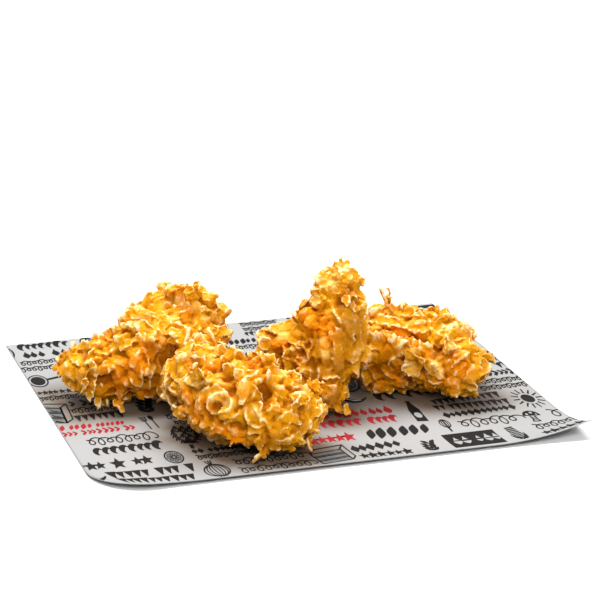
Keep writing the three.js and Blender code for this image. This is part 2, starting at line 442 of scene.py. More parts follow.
@dataclass(frozen=True)
class CrustFinish:
    """Deep-fried batter: pale on rims and nodules, partly a painted highlight, gold on open faces, amber to
    a painted brown shade in the hollows.
    """

    # Pale rims: partly the thin crust's own colour, partly a painted highlight.
    rim_and_highlight: Colour = (0.90, 0.69, 0.36)
    gold: Colour = (0.60, 0.250, 0.003)
    amber: Colour = (0.72, 0.222, 0.0015)
    # Painted shade: a brown for the hollows, and a russet for the pits.
    shade_brown: Colour = (0.26, 0.062, 0.001)
    pit_shade: Colour = (0.32, 0.072, 0.001)
    # Tan: partly toasted crust, partly painted shade on the sides turned from the light.
    tan: Colour = (0.34, 0.125, 0.004)
    cream: Colour = (0.98, 0.64, 0.16)
    sheen: Colour = (1.0, 0.72, 0.25)
    roughness: float = 0.38
    glow: float = 0.25
    glow_depth: float = 0.8 * MM

    def make(self) -> bpy.types.Material:
        """Makes the material, which reads the relief stored on the crust and from it paints shade and, in
        part, highlights.
        """
        shader = Shader("crust")
        place = shader.position()
        ridge, crag, height, bead = (shader.attribute(name) for name in ("ridge", "crag", "height", "bead"))
        patches = shader.noise(16 * MM, 2.0, place)
        mottle = shader.noise(2.6 * MM, 3.0, place) - 0.5
        # Pale rims on ridges and raised faces: partly the crust's own colour, partly a painted highlight.
        rim_and_highlight = (ridge * 0.65 + crag * 0.15 + height * 0.45 - bead * 0.28 + mottle * 0.22).between(0.66, 1.04)
        # Painted shade: darker brown in the creases and hollows of the relief.
        hollow = 1 - (crag * 0.65 + height * 0.35 + mottle * 0.12).between(0.22, 0.50)
        orange = patches * 0.6 + shader.attribute("orange") * 0.5 + bead * 0.12 + mottle * 0.3
        # Tan zones: partly toasted crust, partly painted shade on the sides turned from the light.
        toasted_and_shaded = (shader.attribute("tan") + mottle * 0.4).between(0.25, 0.9)
        pale = (shader.attribute("cream") + mottle * 0.2).between(0.2, 1.0)
        base = shader.blend(orange.between(0.32, 0.85), paint(self.gold), paint(self.amber))
        base = shader.blend(toasted_and_shaded * 0.7, base, paint(self.tan))
        # Painted shade of dark brown in the pits that the brown zones mark.
        base = shader.blend(shader.attribute("shade_brown") * 0.75, base, paint(self.pit_shade))
        colour = shader.blend(hollow * 0.85, base, paint(self.shade_brown))
        colour = shader.blend(pale * 0.65, colour, paint(self.cream))
        colour = shader.blend(rim_and_highlight * 0.7, colour, paint(self.rim_and_highlight))
        grain = shader.noise(0.8 * MM, 4.0, place)
        return shader.feed(
            Base_Color=colour,
            Roughness=self.roughness + mottle * 0.25,
            Specular_Tint=paint(self.sheen),
            Specular_IOR_Level=0.10,
            Coat_Weight=(height * 0.5 + ridge * 0.5).between(0.45, 0.80) * 0.6,
            Coat_Roughness=0.30,
            Subsurface_Weight=self.glow,
            Subsurface_Radius=(1.0, 0.38, 0.10),
            Subsurface_Scale=self.glow_depth,
            Normal=shader.bump(grain, 0.45 * MM, 0.7),
        )


@dataclass(frozen=True)
class PaperFinish:
    """Greaseproof paper: pale grey, a little fibrous, darker and warmer near the wings, where a painted
    shadow is mixed with soaked-in grease.
    """

    sheet: Colour = (0.26, 0.26, 0.26)
    # The colour near the wings: a painted shadow mixed with grease.
    soaked_and_shaded: Colour = (0.12, 0.088, 0.062)
    roughness: float = 0.55

    def make(self) -> bpy.types.Material:
        """Makes the material, which reads the painted shadow and grease near the wings."""
        shader = Shader("paper")
        place = shader.position()
        fibres = shader.noise(1.2 * MM, 4.0, place)
        clouds = shader.noise(30 * MM, 2.0, place)
        # Painted shadow with grease: darker and browner near the wings, and glossier where greasy.
        shadow_and_grease = shader.attribute("shadow_and_grease")
        plain = shader.blend(fibres * 0.12 + clouds * 0.08, paint(self.sheet), (0.22, 0.22, 0.22, 1.0))
        colour = shader.blend(shadow_and_grease, plain, paint(self.soaked_and_shaded))
        return shader.feed(
            Base_Color=colour,
            Roughness=self.roughness - shadow_and_grease * 0.2,
            Specular_IOR_Level=0.2,
            Normal=shader.bump(fibres, 0.05 * MM, 0.4),
        )


@dataclass(frozen=True)
class InkFinish:
    """Printing ink on the paper, a little uneven."""

    name: str
    colour: Colour
    worn: Colour

    def make(self) -> bpy.types.Material:
        """Makes the material."""
        shader = Shader(self.name)
        fade = shader.noise(2.0 * MM, 3.0, shader.position()).between(0.45, 0.8)
        colour = shader.blend(fade * 0.5, paint(self.colour), paint(self.worn))
        return shader.feed(Base_Color=colour, Roughness=0.6, Specular_IOR_Level=0.1)


@dataclass(frozen=True)
class FloorFinish:
    """A plain white studio floor."""

    colour: Colour = (0.62, 0.62, 0.62)

    def make(self) -> bpy.types.Material:
        """Makes the material."""
        return Shader("floor").feed(Base_Color=paint(self.colour), Roughness=0.9)


# The wings


def around(
    centre: tuple[float, float, float], azimuth: float, elevation: float, distance: float
) -> Vector:
    """Finds a place around a centre, in millimetres.

    Args:
        centre: The centre.
        azimuth: Its bearing in degrees, 0 at the front and 90 at the right.
        elevation: Its height over the table in degrees.
        distance: Its distance from the centre.

    Returns:
        The place.
    """
    a, e = math.radians(azimuth), math.radians(elevation)
    away = Vector((math.sin(a) * math.cos(e), -math.cos(a) * math.cos(e), math.sin(e)))
    return Vector(centre) + away * distance


@dataclass(frozen=True)
class Viewpoint:
    """Where the photograph was taken from, in millimetres and degrees."""

    target: tuple[float, float, float] = (52.0, 136.3, 0.0)
    azimuth: float = -17.6
    elevation: float = 18.0
    distance: float = 1395
    lens: float = 150
    sensor: float = 36
    side: int = 600

    def eye(self) -> Vector:
        """Returns the place of the camera."""
        return around(self.target, self.azimuth, self.elevation, self.distance)

    def sight(self, x: float, y: float) -> Vector:
        """Finds the direction from the eye through a place in the picture.

        Args:
            x: Pixels from the picture's left.
            y: Pixels from the picture's top.

        Returns:
            The direction, one unit deep.
        """
        forward = (Vector(self.target) - self.eye()).normalized()
        right = forward.cross(Vector((0, 0, 1))).normalized()
        up = right.cross(forward)
        pixel = self.sensor / (self.lens * self.side)
        return forward + right * (x - self.side / 2) * pixel - up * (y - self.side / 2) * pixel


@dataclass(frozen=True)
class Petals:
    """One kind of curled petal of batter: its spacing and its range of sizes, in millimetres and radians."""

    spacing: float
    length: tuple[float, float]
    width: tuple[float, float]
    tilt: tuple[float, float]
    curl: tuple[float, float]
    bend: tuple[float, float]
    ruffle: float
    thickness: float


@dataclass(frozen=True)
class Nodules:
    """One kind of rounded nodule of batter: its spacing and its range of radii, in millimetres."""

    spacing: float
    radius: tuple[float, float]


@dataclass(frozen=True)
class Lips:
    """One kind of lip: its spacing, its ranges of length and height, and its distance from placed forms."""

    spacing: float
    length: tuple[float, float]
    height: tuple[float, float]
    clear: float


@dataclass(frozen=True)
class Lumps:
    """Rounded lumps that meet in creases: their spacing, reach, height, and the creases' width and depth."""

    spacing: float
    reach: float
    height: float
    crease_width: float
    crease_depth: float


Row = tuple[float, ...]
ZONE_EDGE = 0.37


@dataclass(frozen=True)
class Forms:
    """The larger forms of one crust, placed on the picture that the camera sees, 600 wide and high.

    A lip is its height in millimetres, then the x and y of each corner. It hangs over a hollow at the right
    of the way that it runs. A rope is alike, but falls off on both sides. A petal is the x and y of its root
    and of its tip, then its width in millimetres. A ball is x, y, radius in millimetres, stretch and turn in
    degrees. A pit is x, y, radius and depth, below zero for a bulge. The rest are zones, each its x, y and
    radius: smooth, full of drops or crumbs, or of the colour that they are named for. The brown zones are
    painted shade in the pits, and the tan zones are partly toasted crust and partly painted shade on the
    sides turned from the light.
    """

    lips: tuple[Row, ...]
    ropes: tuple[Row, ...]
    petals: tuple[Row, ...]
    balls: tuple[Row, ...]
    pits: tuple[Row, ...]
    smooth: tuple[Row, ...]
    drops: tuple[Row, ...]
    crumbs: tuple[Row, ...]
    orange: tuple[Row, ...]
    # The brown zones are painted shade in the pits; the tan zones are partly painted shade.
    shade_brown: tuple[Row, ...]
    tan: tuple[Row, ...]
    cream: tuple[Row, ...]


@dataclass
class Template:
    """A small closed form that is modelled once, then bent and placed many times."""

    points: np.ndarray
    triangles: np.ndarray

    @classmethod
    def slab(cls, cells: int) -> "Template":
        """Models a square slab one unit wide and one thick, ready to be bent into a petal.

        Args:
            cells: How many cells the slab has each way.

        Returns:
            The slab as a template, its place along, across and through it from -0.5 to 0.5.
        """
        deselect_all()
        bpy.ops.mesh.primitive_grid_add(x_subdivisions=cells, y_subdivisions=cells, size=1)
        piece = bpy.context.object
        apply_modifier(piece, "SOLIDIFY", thickness=1.0, offset=0.0)
        return cls.taken_from(piece)

    @classmethod
    def ball(cls, detail: int) -> "Template":
        """Models a ball of radius one.

        Args:
            detail: How often its faces are split.

        Returns:
            The ball as a template.
        """
        deselect_all()
        bpy.ops.mesh.primitive_ico_sphere_add(subdivisions=detail, radius=1)
        return cls.taken_from(bpy.context.object)

    @classmethod
    def taken_from(cls, piece: bpy.types.Object) -> "Template":
        """Reads a modelled piece and removes it from the scene.

        Args:
            piece: The piece.

        Returns:
            The template.
        """
        made = cls(read_points(piece.data), read_triangles(piece.data))
        discard(piece)
        return made

    def repeated(self, placed: np.ndarray) -> tuple[np.ndarray, np.ndarray]:
        """Joins many placed copies of the template.

        Args:
            placed: The corner points of each copy, as copies by points by x, y, z.

        Returns:
            The points and triangles of all copies together.
        """
        copies, count = placed.shape[:2]
        shifts = np.arange(copies)[:, None, None] * count
        triangles = (self.triangles[None] + shifts).reshape(-1, 3)
        return placed.reshape(-1, 3), triangles


@dataclass
class Surface:
    """The smooth body that a crust grows on, in millimetres."""

    points: np.ndarray
    normals: np.ndarray
    triangles: np.ndarray
    tree: BVHTree = field(init=False)
    tries: float = 90_000

    def settle(self) -> None:
        """Makes the surface ready for finding places on it, once its points are final."""
        self.tree = BVHTree.FromPolygons(self.points.tolist(), self.triangles.tolist())

    def scatter(self, spacing: float, dice: np.random.Generator) -> tuple[np.ndarray, np.ndarray]:
        """Spreads places over the surface, none nearer to another than the spacing.

        The places are drawn in the space around and moved to the surface, so that they don't hang on how its
        triangles are numbered.

        Args:
            spacing: The least distance between places, in millimetres.
            dice: The seeded numbers to draw from.

        Returns:
            The places and the outward direction at each.
        """
        low, high = self.points.min(axis=0) - 2, self.points.max(axis=0) + 2
        tries = 100 + int(self.tries / spacing**2)
        drawn = low + (high - low) * dice.random((tries, 3))
        found = [self.tree.find_nearest(Vector(p)) for p in drawn]
        places = np.array([row[0] for row in found])
        normals = np.array([row[1] for row in found])
        kept: list[int] = []
        cells: dict[tuple[int, int, int], list[int]] = {}
        for i, place in enumerate(places):
            cell = tuple(int(v // spacing) for v in place)
            near = [
                j
                for x in (-1, 0, 1)
                for y in (-1, 0, 1)
                for z in (-1, 0, 1)
                for j in cells.get((cell[0] + x, cell[1] + y, cell[2] + z), ())
            ]
            if near and np.min(np.sum((places[near] - place) ** 2, axis=1)) < spacing**2:
                continue
            kept.append(i)
            cells.setdefault(cell, []).append(i)
        return places[kept], normals[kept]

    def seen(self, view: Viewpoint, x: float, y: float) -> np.ndarray:
        """Finds the place on the surface that shows at a place in the picture.

        Args:
            view: Where the picture is seen from.
            x: Pixels from the picture's left.
            y: Pixels from the picture's top.

        Returns:
            The place, or the surface's nearest place to that line of sight where it passes by.
        """
        eye, sight = view.eye(), view.sight(x, y)
        hit = self.tree.ray_cast(eye, sight.normalized())[0]
        if hit is not None:
            return np.array(hit)
        middle = (Vector(self.points.mean(axis=0)) - eye).dot(sight) / sight.length_squared
        tries = [self.tree.find_nearest(eye + sight * (middle + step)) for step in range(-50, 51, 2)]
        return np.array(min(tries, key=lambda found: found[3])[0])

    def outward(self, places: np.ndarray, reach: float = 3.0) -> np.ndarray:
        """Finds the surface's outward direction near each place.

        Args:
            places: Rows of x, y, z.
            reach: The distance over which it is averaged, in millimetres.

        Returns:
            Rows of unit vectors.
        """
        rows = []
        for place in places:
            distance = np.linalg.norm(self.points - place, axis=1)
            near = distance < reach * 1.6
            rows.append((self.normals[near] * np.exp(-((distance[near, None] / reach) ** 2))).sum(axis=0))
        return unit(np.array(rows))

    def traced(self, view: Viewpoint, corners: Row) -> np.ndarray:
        """Lays a line that was traced on the picture on the surface.

        Args:
            view: Where the picture is seen from.
            corners: The x and y of each corner, one after the other.

        Returns:
            Places about half a millimetre apart along the rounded line.
        """
        path = np.array(corners, dtype=float).reshape(-1, 2)
        for _ in range(2):
            cut = np.stack([path[:-1] * 0.75 + path[1:] * 0.25, path[:-1] * 0.25 + path[1:] * 0.75], axis=1)
            path = np.concatenate([path[:1], cut.reshape(-1, 2), path[-1:]])
        run = np.concatenate([[0], np.cumsum(np.linalg.norm(np.diff(path, axis=0), axis=1))])
        at = np.linspace(0, run[-1], max(4, int(run[-1])))
        pixels = np.stack([np.interp(at, run, path[:, k]) for k in range(2)], axis=1)
        places = np.array([self.seen(view, x, y) for x, y in pixels])
        return evened(places)

    def wander(self, start: np.ndarray, heading: np.ndarray, length: float, turn: float) -> np.ndarray:
        """Walks over the surface and returns the places passed, half a millimetre apart.

        Args:
            start: Where the walk begins.
            heading: The direction in which it sets out.
            length: Its length in millimetres.
            turn: How fast it turns, in radians a millimetre.

        Returns:
            The places.
        """
        step = 0.6
        place, heading = Vector(start), Vector(heading)
        places = [place]
        for _ in range(int(length / step)):
            found, normal = self.tree.find_nearest(place + heading * step)[:2]
            heading = heading + heading.cross(normal) * turn * step
            heading = (heading - normal * heading.dot(normal) * 0.5).normalized()
            place = found
            places.append(place)
        return evened(np.array(places))


def evened(places: np.ndarray) -> np.ndarray:
    """Takes the jitter out of a line of places, its ends kept.

    Args:
        places: The places in order.

    Returns:
        The same places, moved a little.
    """
    for _ in range(4):
        places[1:-1] = places[1:-1] * 0.5 + (places[:-2] + places[2:]) * 0.25
    return places


@dataclass(frozen=True)
class Profile:
    """The cross-section of lips and ropes and how it changes along them, in millimetres.

    A wave is its height and its pace. Sway shifts the line from side to side, and swing makes it higher and
    lower round its tallness.
    """

    sway: tuple[tuple[float, float], ...] = ((0.30, 1.7), (0.14, 3.7))
    swing: tuple[tuple[float, float], ...] = ((0.18, 1.1), (0.08, 2.6))
    tallness: float = 1.15
    reach: float = 8.0
    depth: float = 5.0
    end: float = 1.2
    back: float = 1.6
    edge: float = 0.7
    hollow: float = 3.6
    lean: float = 0.55
    rope: float = 0.6

    def waves(self, run: np.ndarray, phase: np.ndarray) -> tuple[np.ndarray, np.ndarray]:
        """Works out the waves along a line.

        Args:
            run: How far along the line each of its places is.
            phase: Where each of the four waves starts.

        Returns:
            The shift to the side and the share of the height at each place.
        """
        rows = zip(self.sway + self.swing, phase)
        first, second, third, fourth = (high * np.sin(run * pace + at) for (high, pace), at in rows)
        return first + second, self.tallness + third + fourth

    def lip(self, across: np.ndarray, height: float) -> tuple[np.ndarray, np.ndarray]:
        """Shapes a lip, which rises from behind to its edge and hangs over a hollow.

        Args:
            across: How far each place is beyond the edge.
            height: The lip's height.

        Returns:
            The share of the height at each place, and the share by which it leans over.
        """
        back = np.clip(1 + across / (self.back + height), 0, 1) ** 1.6
        drop = np.clip(across / self.edge, 0, 1)
        fill = np.clip(1 - (across - self.edge) / self.hollow, 0, 1)
        front = 1 - 1.5 * drop * drop * (3 - 2 * drop) * fill
        front = np.where(across > self.edge, -0.5 * fill**1.5, front)
        shape = np.where(across < 0, back, front)
        return shape, self.lean * np.clip(shape, 0, 1) ** 2


@dataclass
class Growth:
    """Where petals grow on a body, with one row for each petal: places, directions and sizes."""

    roots: np.ndarray
    normals: np.ndarray
    tangent: np.ndarray
    length: np.ndarray
    width: np.ndarray
    tilt: np.ndarray
    curl: np.ndarray
    bend: np.ndarray


@dataclass
class Wing:
    """One wing: its CAD form with a crust grown on it."""

    node: str
    seed: int
    forms: Forms
    view: Viewpoint
    shrink: float = 1.1
    body_voxel: float = 1.1
    voxel: float = 0.45
    most_triangles: int = 150000
    floor: float = 0.43
    clear: float = 1.2
    lumps: tuple[Lumps, ...] = (Lumps(9.0, 6.5, 1.3, 1.3, 0.9), Lumps(3.8, 2.8, 0.35, 0.8, 0.3))
    petals: tuple[Petals, ...] = (
        Petals(11.0, (4.0, 7.5), (5.0, 9.5), (0.08, 0.30), (0.2, 1.2), (0.1, 0.9), 0.7, 1.2),
    )
    nodules: tuple[Nodules, ...] = (Nodules(9.0, (0.8, 1.4)),)
    drops: tuple[Nodules, ...] = (Nodules(4.6, (1.3, 2.4)),)
    crumbs: tuple[Nodules, ...] = (Nodules(1.7, (0.5, 1.1)),)
    lips: tuple[Lips, ...] = (
        Lips(8.0, (8.0, 20.0), (1.4, 2.8), 5.5),
        Lips(4.8, (5.0, 13.0), (0.7, 1.5), 2.6),
    )
    profile: Profile = Profile()
    calm: float = 0.7
    root_depth: float = 0.8
    roundness: float = 16.0
    surface: Surface = field(init=False)
    dice: np.random.Generator = field(init=False)
    others: list[BVHTree] = field(init=False)
    taken: np.ndarray = field(init=False)
    beads: list[tuple[np.ndarray, np.ndarray]] = field(init=False, default_factory=list)

    def build(self, slab: Template, ball: Template, finish: bpy.types.Material) -> bpy.types.Object:
        """Grows the crust and dresses it.

        Args:
            slab: The template of a petal.
            ball: The template of a nodule.
            finish: The crust's material.

        Returns:
            The finished piece.
        """
        self.dice = np.random.default_rng(self.seed)
        self.others = [
            BVHTree.FromPolygons(read_points(o.data).tolist(), read_triangles(o.data).tolist())
            for name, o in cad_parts.items()
            if name.startswith("wing") and name != self.node
        ]
        self.prepare_body()
        lips, ropes = self.traced_lines()
        self.taken = self.taken_places(lips + ropes)
        lips += [lip for kind in self.lips for lip in self.wild_lips(kind)]
        moves = self.pitted(self.surface.points)
        for height, path in lips:
            self.raise_line(moves, path, height, True)
        for height, path in ropes:
            self.raise_line(moves, path, height, False)
        parts = [(self.surface.points + moves, self.surface.triangles)]
        parts += [slab.repeated(self.wild_petals(kind, slab)) for kind in self.petals]
        parts.append(slab.repeated(self.placed_petals(slab)))
        parts.append(ball.repeated(self.placed_balls(ball)))
        beads = ((self.nodules, None), (self.drops, self.forms.drops), (self.crumbs, self.forms.crumbs))
        for kinds, zones in beads:
            parts += [ball.repeated(self.nodule_points(kind, ball, zones)) for kind in kinds]
        piece = self.fused(parts)
        self.roughen(piece)
        self.rest_on_paper(piece)
        self.store_relief(piece)
        shade_smooth(piece)
        piece.data.materials.clear()
        piece.data.materials.append(finish)
        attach(piece, "root")
        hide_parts(self.node)
        return piece

    def prepare_body(self) -> None:
        """Makes the surface that the crust grows on: rounded, lumpy and calmer in the smooth zones."""
        body = self.smooth_body()
        mesh = body.data
        self.surface = Surface(read_points(mesh) / MM, read_normals(mesh), read_triangles(mesh))
        discard(body)
        self.surface.settle()
        grown = sum(self.swell(kind) for kind in self.lumps)
        grown *= 1 - self.calm * self.zone_share(self.surface.points, self.forms.smooth)
        self.surface.points += self.surface.normals * (grown - self.shrink)[:, None]
        self.surface.settle()

    def smooth_body(self) -> bpy.types.Object:
        """Rounds the facets of a copy of the wing's CAD mesh.

        Returns:
            The rounded body, a loose object that is discarded once it is read.
        """
        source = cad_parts[self.node]
        body = bpy.data.objects.new("body_" + self.node, source.data.copy())
        bpy.context.scene.collection.objects.link(body)
        make_active(body)
        bpy.ops.object.mode_set(mode="EDIT")
        bpy.ops.mesh.select_all(action="SELECT")
        bpy.ops.mesh.remove_doubles(threshold=0.001 * MM)
        bpy.ops.object.mode_set(mode="OBJECT")
        apply_modifier(body, "REMESH", mode="VOXEL", voxel_size=self.body_voxel * MM, use_smooth_shade=True)
        put_in_order(body)
        apply_modifier(body, "SMOOTH", factor=0.5, iterations=8)
        apply_modifier(body, "SUBSURF", levels=1, render_levels=1)
        return body

    def swell(self, kind: Lumps) -> np.ndarray:
        """Swells the body into rounded lumps that meet in creases.

        Args:
            kind: The kind of lump.

        Returns:
            How far each point of the body moves outwards, in millimetres.
        """
        tree = tree_of(self.surface.scatter(kind.spacing, self.dice)[0])
        near = np.array([[found[2] for found in tree.find_n(p, 2)] for p in self.surface.points])
        dome = np.maximum(0, 1 - (near[:, 0] / kind.reach) ** 2) - 0.5
        crease = np.exp(-(((near[:, 1] - near[:, 0]) / kind.crease_width) ** 2))
        return dome * kind.height - crease * kind.crease_depth

    def gaps(self, places: np.ndarray, most: float) -> np.ndarray:
        """Measures how far places are from every other wing.

        Args:
            places: Rows of x, y, z in millimetres.
            most: The distance beyond which it doesn't matter, in millimetres.

        Returns:
            The distance of each place in millimetres, at most the given one.
        """
        found = [[tree.find_nearest(Vector(p) * MM, most * MM)[3] for tree in self.others] for p in places]
        return np.array([min([most] + [gap / MM for gap in row if gap is not None]) for row in found])

    def traced_lines(self) -> tuple[list[tuple[float, np.ndarray]], list[tuple[float, np.ndarray]]]:
        """Lays the traced lips and ropes on the body, each as its height and its places."""
        lips = [(row[0], self.surface.traced(self.view, row[1:])) for row in self.forms.lips]
        ropes = [(row[0], self.surface.traced(self.view, row[1:])) for row in self.forms.ropes]
        return lips, ropes

    def taken_places(self, lines: list[tuple[float, np.ndarray]]) -> np.ndarray:
        """Finds the places that the listed forms take up.

        Args:
            lines: The traced lips and ropes.

        Returns:
            Rows of x, y, z.
        """
        rows = [path for _, path in lines]
        spots = self.forms.petals + self.forms.balls + tuple(row for row in self.forms.pits if row[2] < 5)
        rows += [self.surface.seen(self.view, row[0], row[1])[None] for row in spots]
        return np.concatenate(rows)

    def is_free(self, places: np.ndarray, least: float) -> np.ndarray:
        """Tells which places are clear of the listed forms and off the smooth zones.

        Args:
            places: Rows of x, y, z.
            least: The least distance from those forms, in millimetres.

        Returns:
            True or false for each place.
        """
        gaps = [np.min(np.sum((self.taken - p) ** 2, axis=1)) for p in places]
        far = np.array([gap > least**2 for gap in gaps], dtype=bool)
        return far & (self.zone_share(places, self.forms.smooth) < ZONE_EDGE)

    def wild_lips(self, kind: Lips) -> list[tuple[float, np.ndarray]]:
        """Draws one kind of lip for the rest of the body.

        Args:
            kind: The kind of lip.

        Returns:
            The height of each lip and the places along it.
        """
        starts, normals = self.surface.scatter(kind.spacing, self.dice)
        free = self.is_free(starts, kind.clear) & (self.gaps(starts, 3.0) > 2.0)
        flow = noise_directions(starts, 25, self.seed) + 0.3 * self.dice.normal(size=starts.shape)
        heading = unit(np.cross(normals, flow))
        lines = []
        for start, direction in zip(starts[free], heading[free]):
            length = self.dice.uniform(*kind.length)
            turn = self.dice.normal() * 0.9 / length
            height = self.dice.uniform(*kind.height)
            lines.append((height, self.surface.wander(start, direction, length, turn)))
        return lines

    def pitted(self, points: np.ndarray) -> np.ndarray:
        """Works out the moves that take points of the body, or what grows there, down into its pits.

        Args:
            points: Rows of x, y, z in millimetres.

        Returns:
            The move of each point.
        """
        moves = np.zeros_like(points)
        for x, y, radius, depth in self.forms.pits:
            middle = self.surface.seen(self.view, x, y)
            distance = np.linalg.norm(points - middle, axis=1)
            near = distance < radius * 2.5
            inward = -self.surface.outward(middle[None])[0]
            moves[near] += inward * (depth * np.exp(-((distance[near] / radius) ** 2)))[:, None]
        return moves

    def raise_line(self, moves: np.ndarray, path: np.ndarray, height: float, overhang: bool) -> None:
        """Adds the moves of the body's points that raise one lip or rope.

        Args:
            moves: The moves so far, changed in place.
            path: The places along its line.
            height: Its height in millimetres.
            overhang: Whether it hangs over a hollow on one side.
        """
        form = self.profile
        middle = path.mean(axis=0)
        radius = np.linalg.norm(path - middle, axis=1).max() + form.reach
        near = np.flatnonzero(np.linalg.norm(self.surface.points - middle, axis=1) < radius)
        offset = self.surface.points[near, None] - path[None]
        distance = np.linalg.norm(offset, axis=2)
        up = unit(np.exp(-((distance / 3) ** 2)).T @ self.surface.normals[near] + 1e-9)
        along = unit(np.gradient(path, axis=0))
        side = unit(np.cross(along, up))
        nearest = distance.argmin(axis=1)
        chosen = offset[np.arange(len(near)), nearest]
        run = np.concatenate([[0], np.cumsum(np.linalg.norm(np.diff(path, axis=0), axis=1))])
        phase = self.dice.uniform(0, 2 * math.pi, 4)
        crinkle, swing = form.waves(run, phase)
        room = np.clip(self.gaps(path, 4.0) / 3.0 - 0.2, 0, 1)
        closed = np.linalg.norm(path[0] - path[-1]) < 3
        taper = 1 if closed else np.sin(math.pi * np.clip(run / run[-1], 0.03, 0.97)) ** 0.45
        tall = height * taper * swing * room
        across = (chosen * side[nearest]).sum(axis=1) - crinkle[nearest]
        beyond = (chosen * along[nearest]).sum(axis=1)
        depth = (chosen * up[nearest]).sum(axis=1)
        fade = np.exp(-((depth / form.depth) ** 2) - ((beyond / form.end) ** 2 if overhang else 0))
        if overhang:
            shape, lean = form.lip(across, height)
        else:
            flat = (chosen**2).sum(axis=1) - depth**2
            shape = np.exp(-flat / (form.rope + 0.25 * height) ** 2)
            lean = np.zeros_like(shape)
        size = tall[nearest] * fade
        moves[near] += up[nearest] * (shape * size)[:, None] + side[nearest] * (lean * size)[:, None]

    def bent_petals(self, slab: Template, grown: Growth, ruffle: float, thickness: float) -> np.ndarray:
        """Bends copies of the slab into petals that leave the body, curl over and ruffle at the rim.

        Args:
            slab: The template.
            grown: Where they grow, which way and how large.
            ruffle: The height of the ruffles.
            thickness: Their thickness.

        Returns:
            The corner points of each petal.
        """
        count = len(grown.roots)
        length, width, tilt = grown.length, grown.width, grown.tilt
        side = np.cross(grown.normals, grown.tangent)
        bend = np.where(np.abs(grown.bend) < 0.05, 0.05, grown.bend)
        waves = self.dice.uniform(0.8, 2.0, (count, 1))
        phase = self.dice.uniform(0, 2 * math.pi, (count, 1))
        jag = self.dice.uniform(0, 2 * math.pi, (count, 1))
        u = slab.points[None, :, 0] + 0.5
        v = slab.points[None, :, 1] * 2
        w = slab.points[None, :, 2]
        ragged = 1 - 0.25 * v * v + 0.10 * np.sin(3.3 * v * waves + jag)
        reach = u * ragged
        steps = np.linspace(0, 1, 17)[None, None] * reach[..., None]
        bending = tilt[..., None] + grown.curl[..., None] * steps**2.5
        forward = length * reach * np.cos(bending).mean(axis=2)
        rise = length * reach * np.sin(bending).mean(axis=2)
        angle = tilt + grown.curl * reach**2.5
        half = width / 2 * np.sqrt(np.clip(1 - ((u - 0.58) / 0.64) ** 2, 0.03, 1))
        wave = np.sin(waves * 2.6 * v + phase) + 0.35 * np.sin(waves * 6.1 * v + jag)
        wave = ruffle * np.minimum(1, width / 6) * u * wave
        across = half / bend * np.sin(bend * v)
        cup = half / bend * (1 - np.cos(bend * v))
        through = w * thickness * (1.2 - 0.3 * u) + wave + cup
        along = forward - through * np.sin(angle)
        falling = (along**2 + across**2) / (2 * self.roundness)
        above = rise + through * np.cos(angle) - self.root_depth - falling
        shapes = np.stack([along, above, across], axis=-1)
        return laid_out(grown.roots, shapes, (grown.tangent, grown.normals, side))

    def wild_petals(self, kind: Petals, slab: Template) -> np.ndarray:
        """Draws petals for the rest of the body.

        Args:
            kind: The kind of petal.
            slab: The template.

        Returns:
            The corner points of each petal.
        """
        roots, normals = self.surface.scatter(kind.spacing, self.dice)
        free = (self.gaps(roots, self.clear) >= self.clear) & self.is_free(roots, 4.0)
        roots, normals = roots[free], normals[free]
        roots = roots + self.pitted(roots)
        count = len(roots)
        flow = noise_directions(roots, 22, self.seed) + 0.15 * self.dice.normal(size=(count, 3))
        tangent = unit(flow - (flow * normals).sum(axis=1, keepdims=True) * normals)

        def drawn(low: float, high: float) -> np.ndarray:
            """Draws one number for each petal."""
            return low + (high - low) * self.dice.random((count, 1)) ** 1.3

        sizes = [drawn(*pair) for pair in (kind.length, kind.width, kind.tilt, kind.curl, kind.bend)]
        return self.bent_petals(slab, Growth(roots, normals, tangent, *sizes), kind.ruffle, kind.thickness)

    def placed_petals(self, slab: Template) -> np.ndarray:
        """Bends the listed petals.

        Args:
            slab: The template.

        Returns:
            The corner points of each petal.
        """
        rows = np.array(self.forms.petals)
        roots = np.array([self.surface.seen(self.view, row[0], row[1]) for row in rows])
        normals = self.surface.outward(roots)
        roots = roots + self.pitted(roots)
        eye = np.array(self.view.eye())
        tips = []
        for row, root in zip(rows, roots):
            start, end = (np.array(self.view.sight(*row[k : k + 2])) for k in (0, 2))
            depth = (root - eye) @ start / (start @ start)
            tips.append((end - start) * depth)
        tips = np.array(tips)
        length = np.linalg.norm(tips, axis=1, keepdims=True)
        heading = tips / length
        rising = (heading * normals).sum(axis=1, keepdims=True)
        tangent = unit(heading - rising * normals)
        tilt = np.clip(np.arcsin(np.clip(rising, -1, 1)), 0.22, 1.35)
        count = (len(rows), 1)
        length = length * np.where(tilt < 0.8, 1.1, 0.75) + self.root_depth
        width = rows[:, 4:5] * 1.15
        curl = self.dice.uniform(0.1, 0.6, count) * (tilt < 0.8)
        bend = self.dice.uniform(0.3, 0.9, count)
        grown = Growth(roots, normals, tangent, length, width, tilt, curl, bend)
        return self.bent_petals(slab, grown, ruffle=0.45, thickness=1.3)

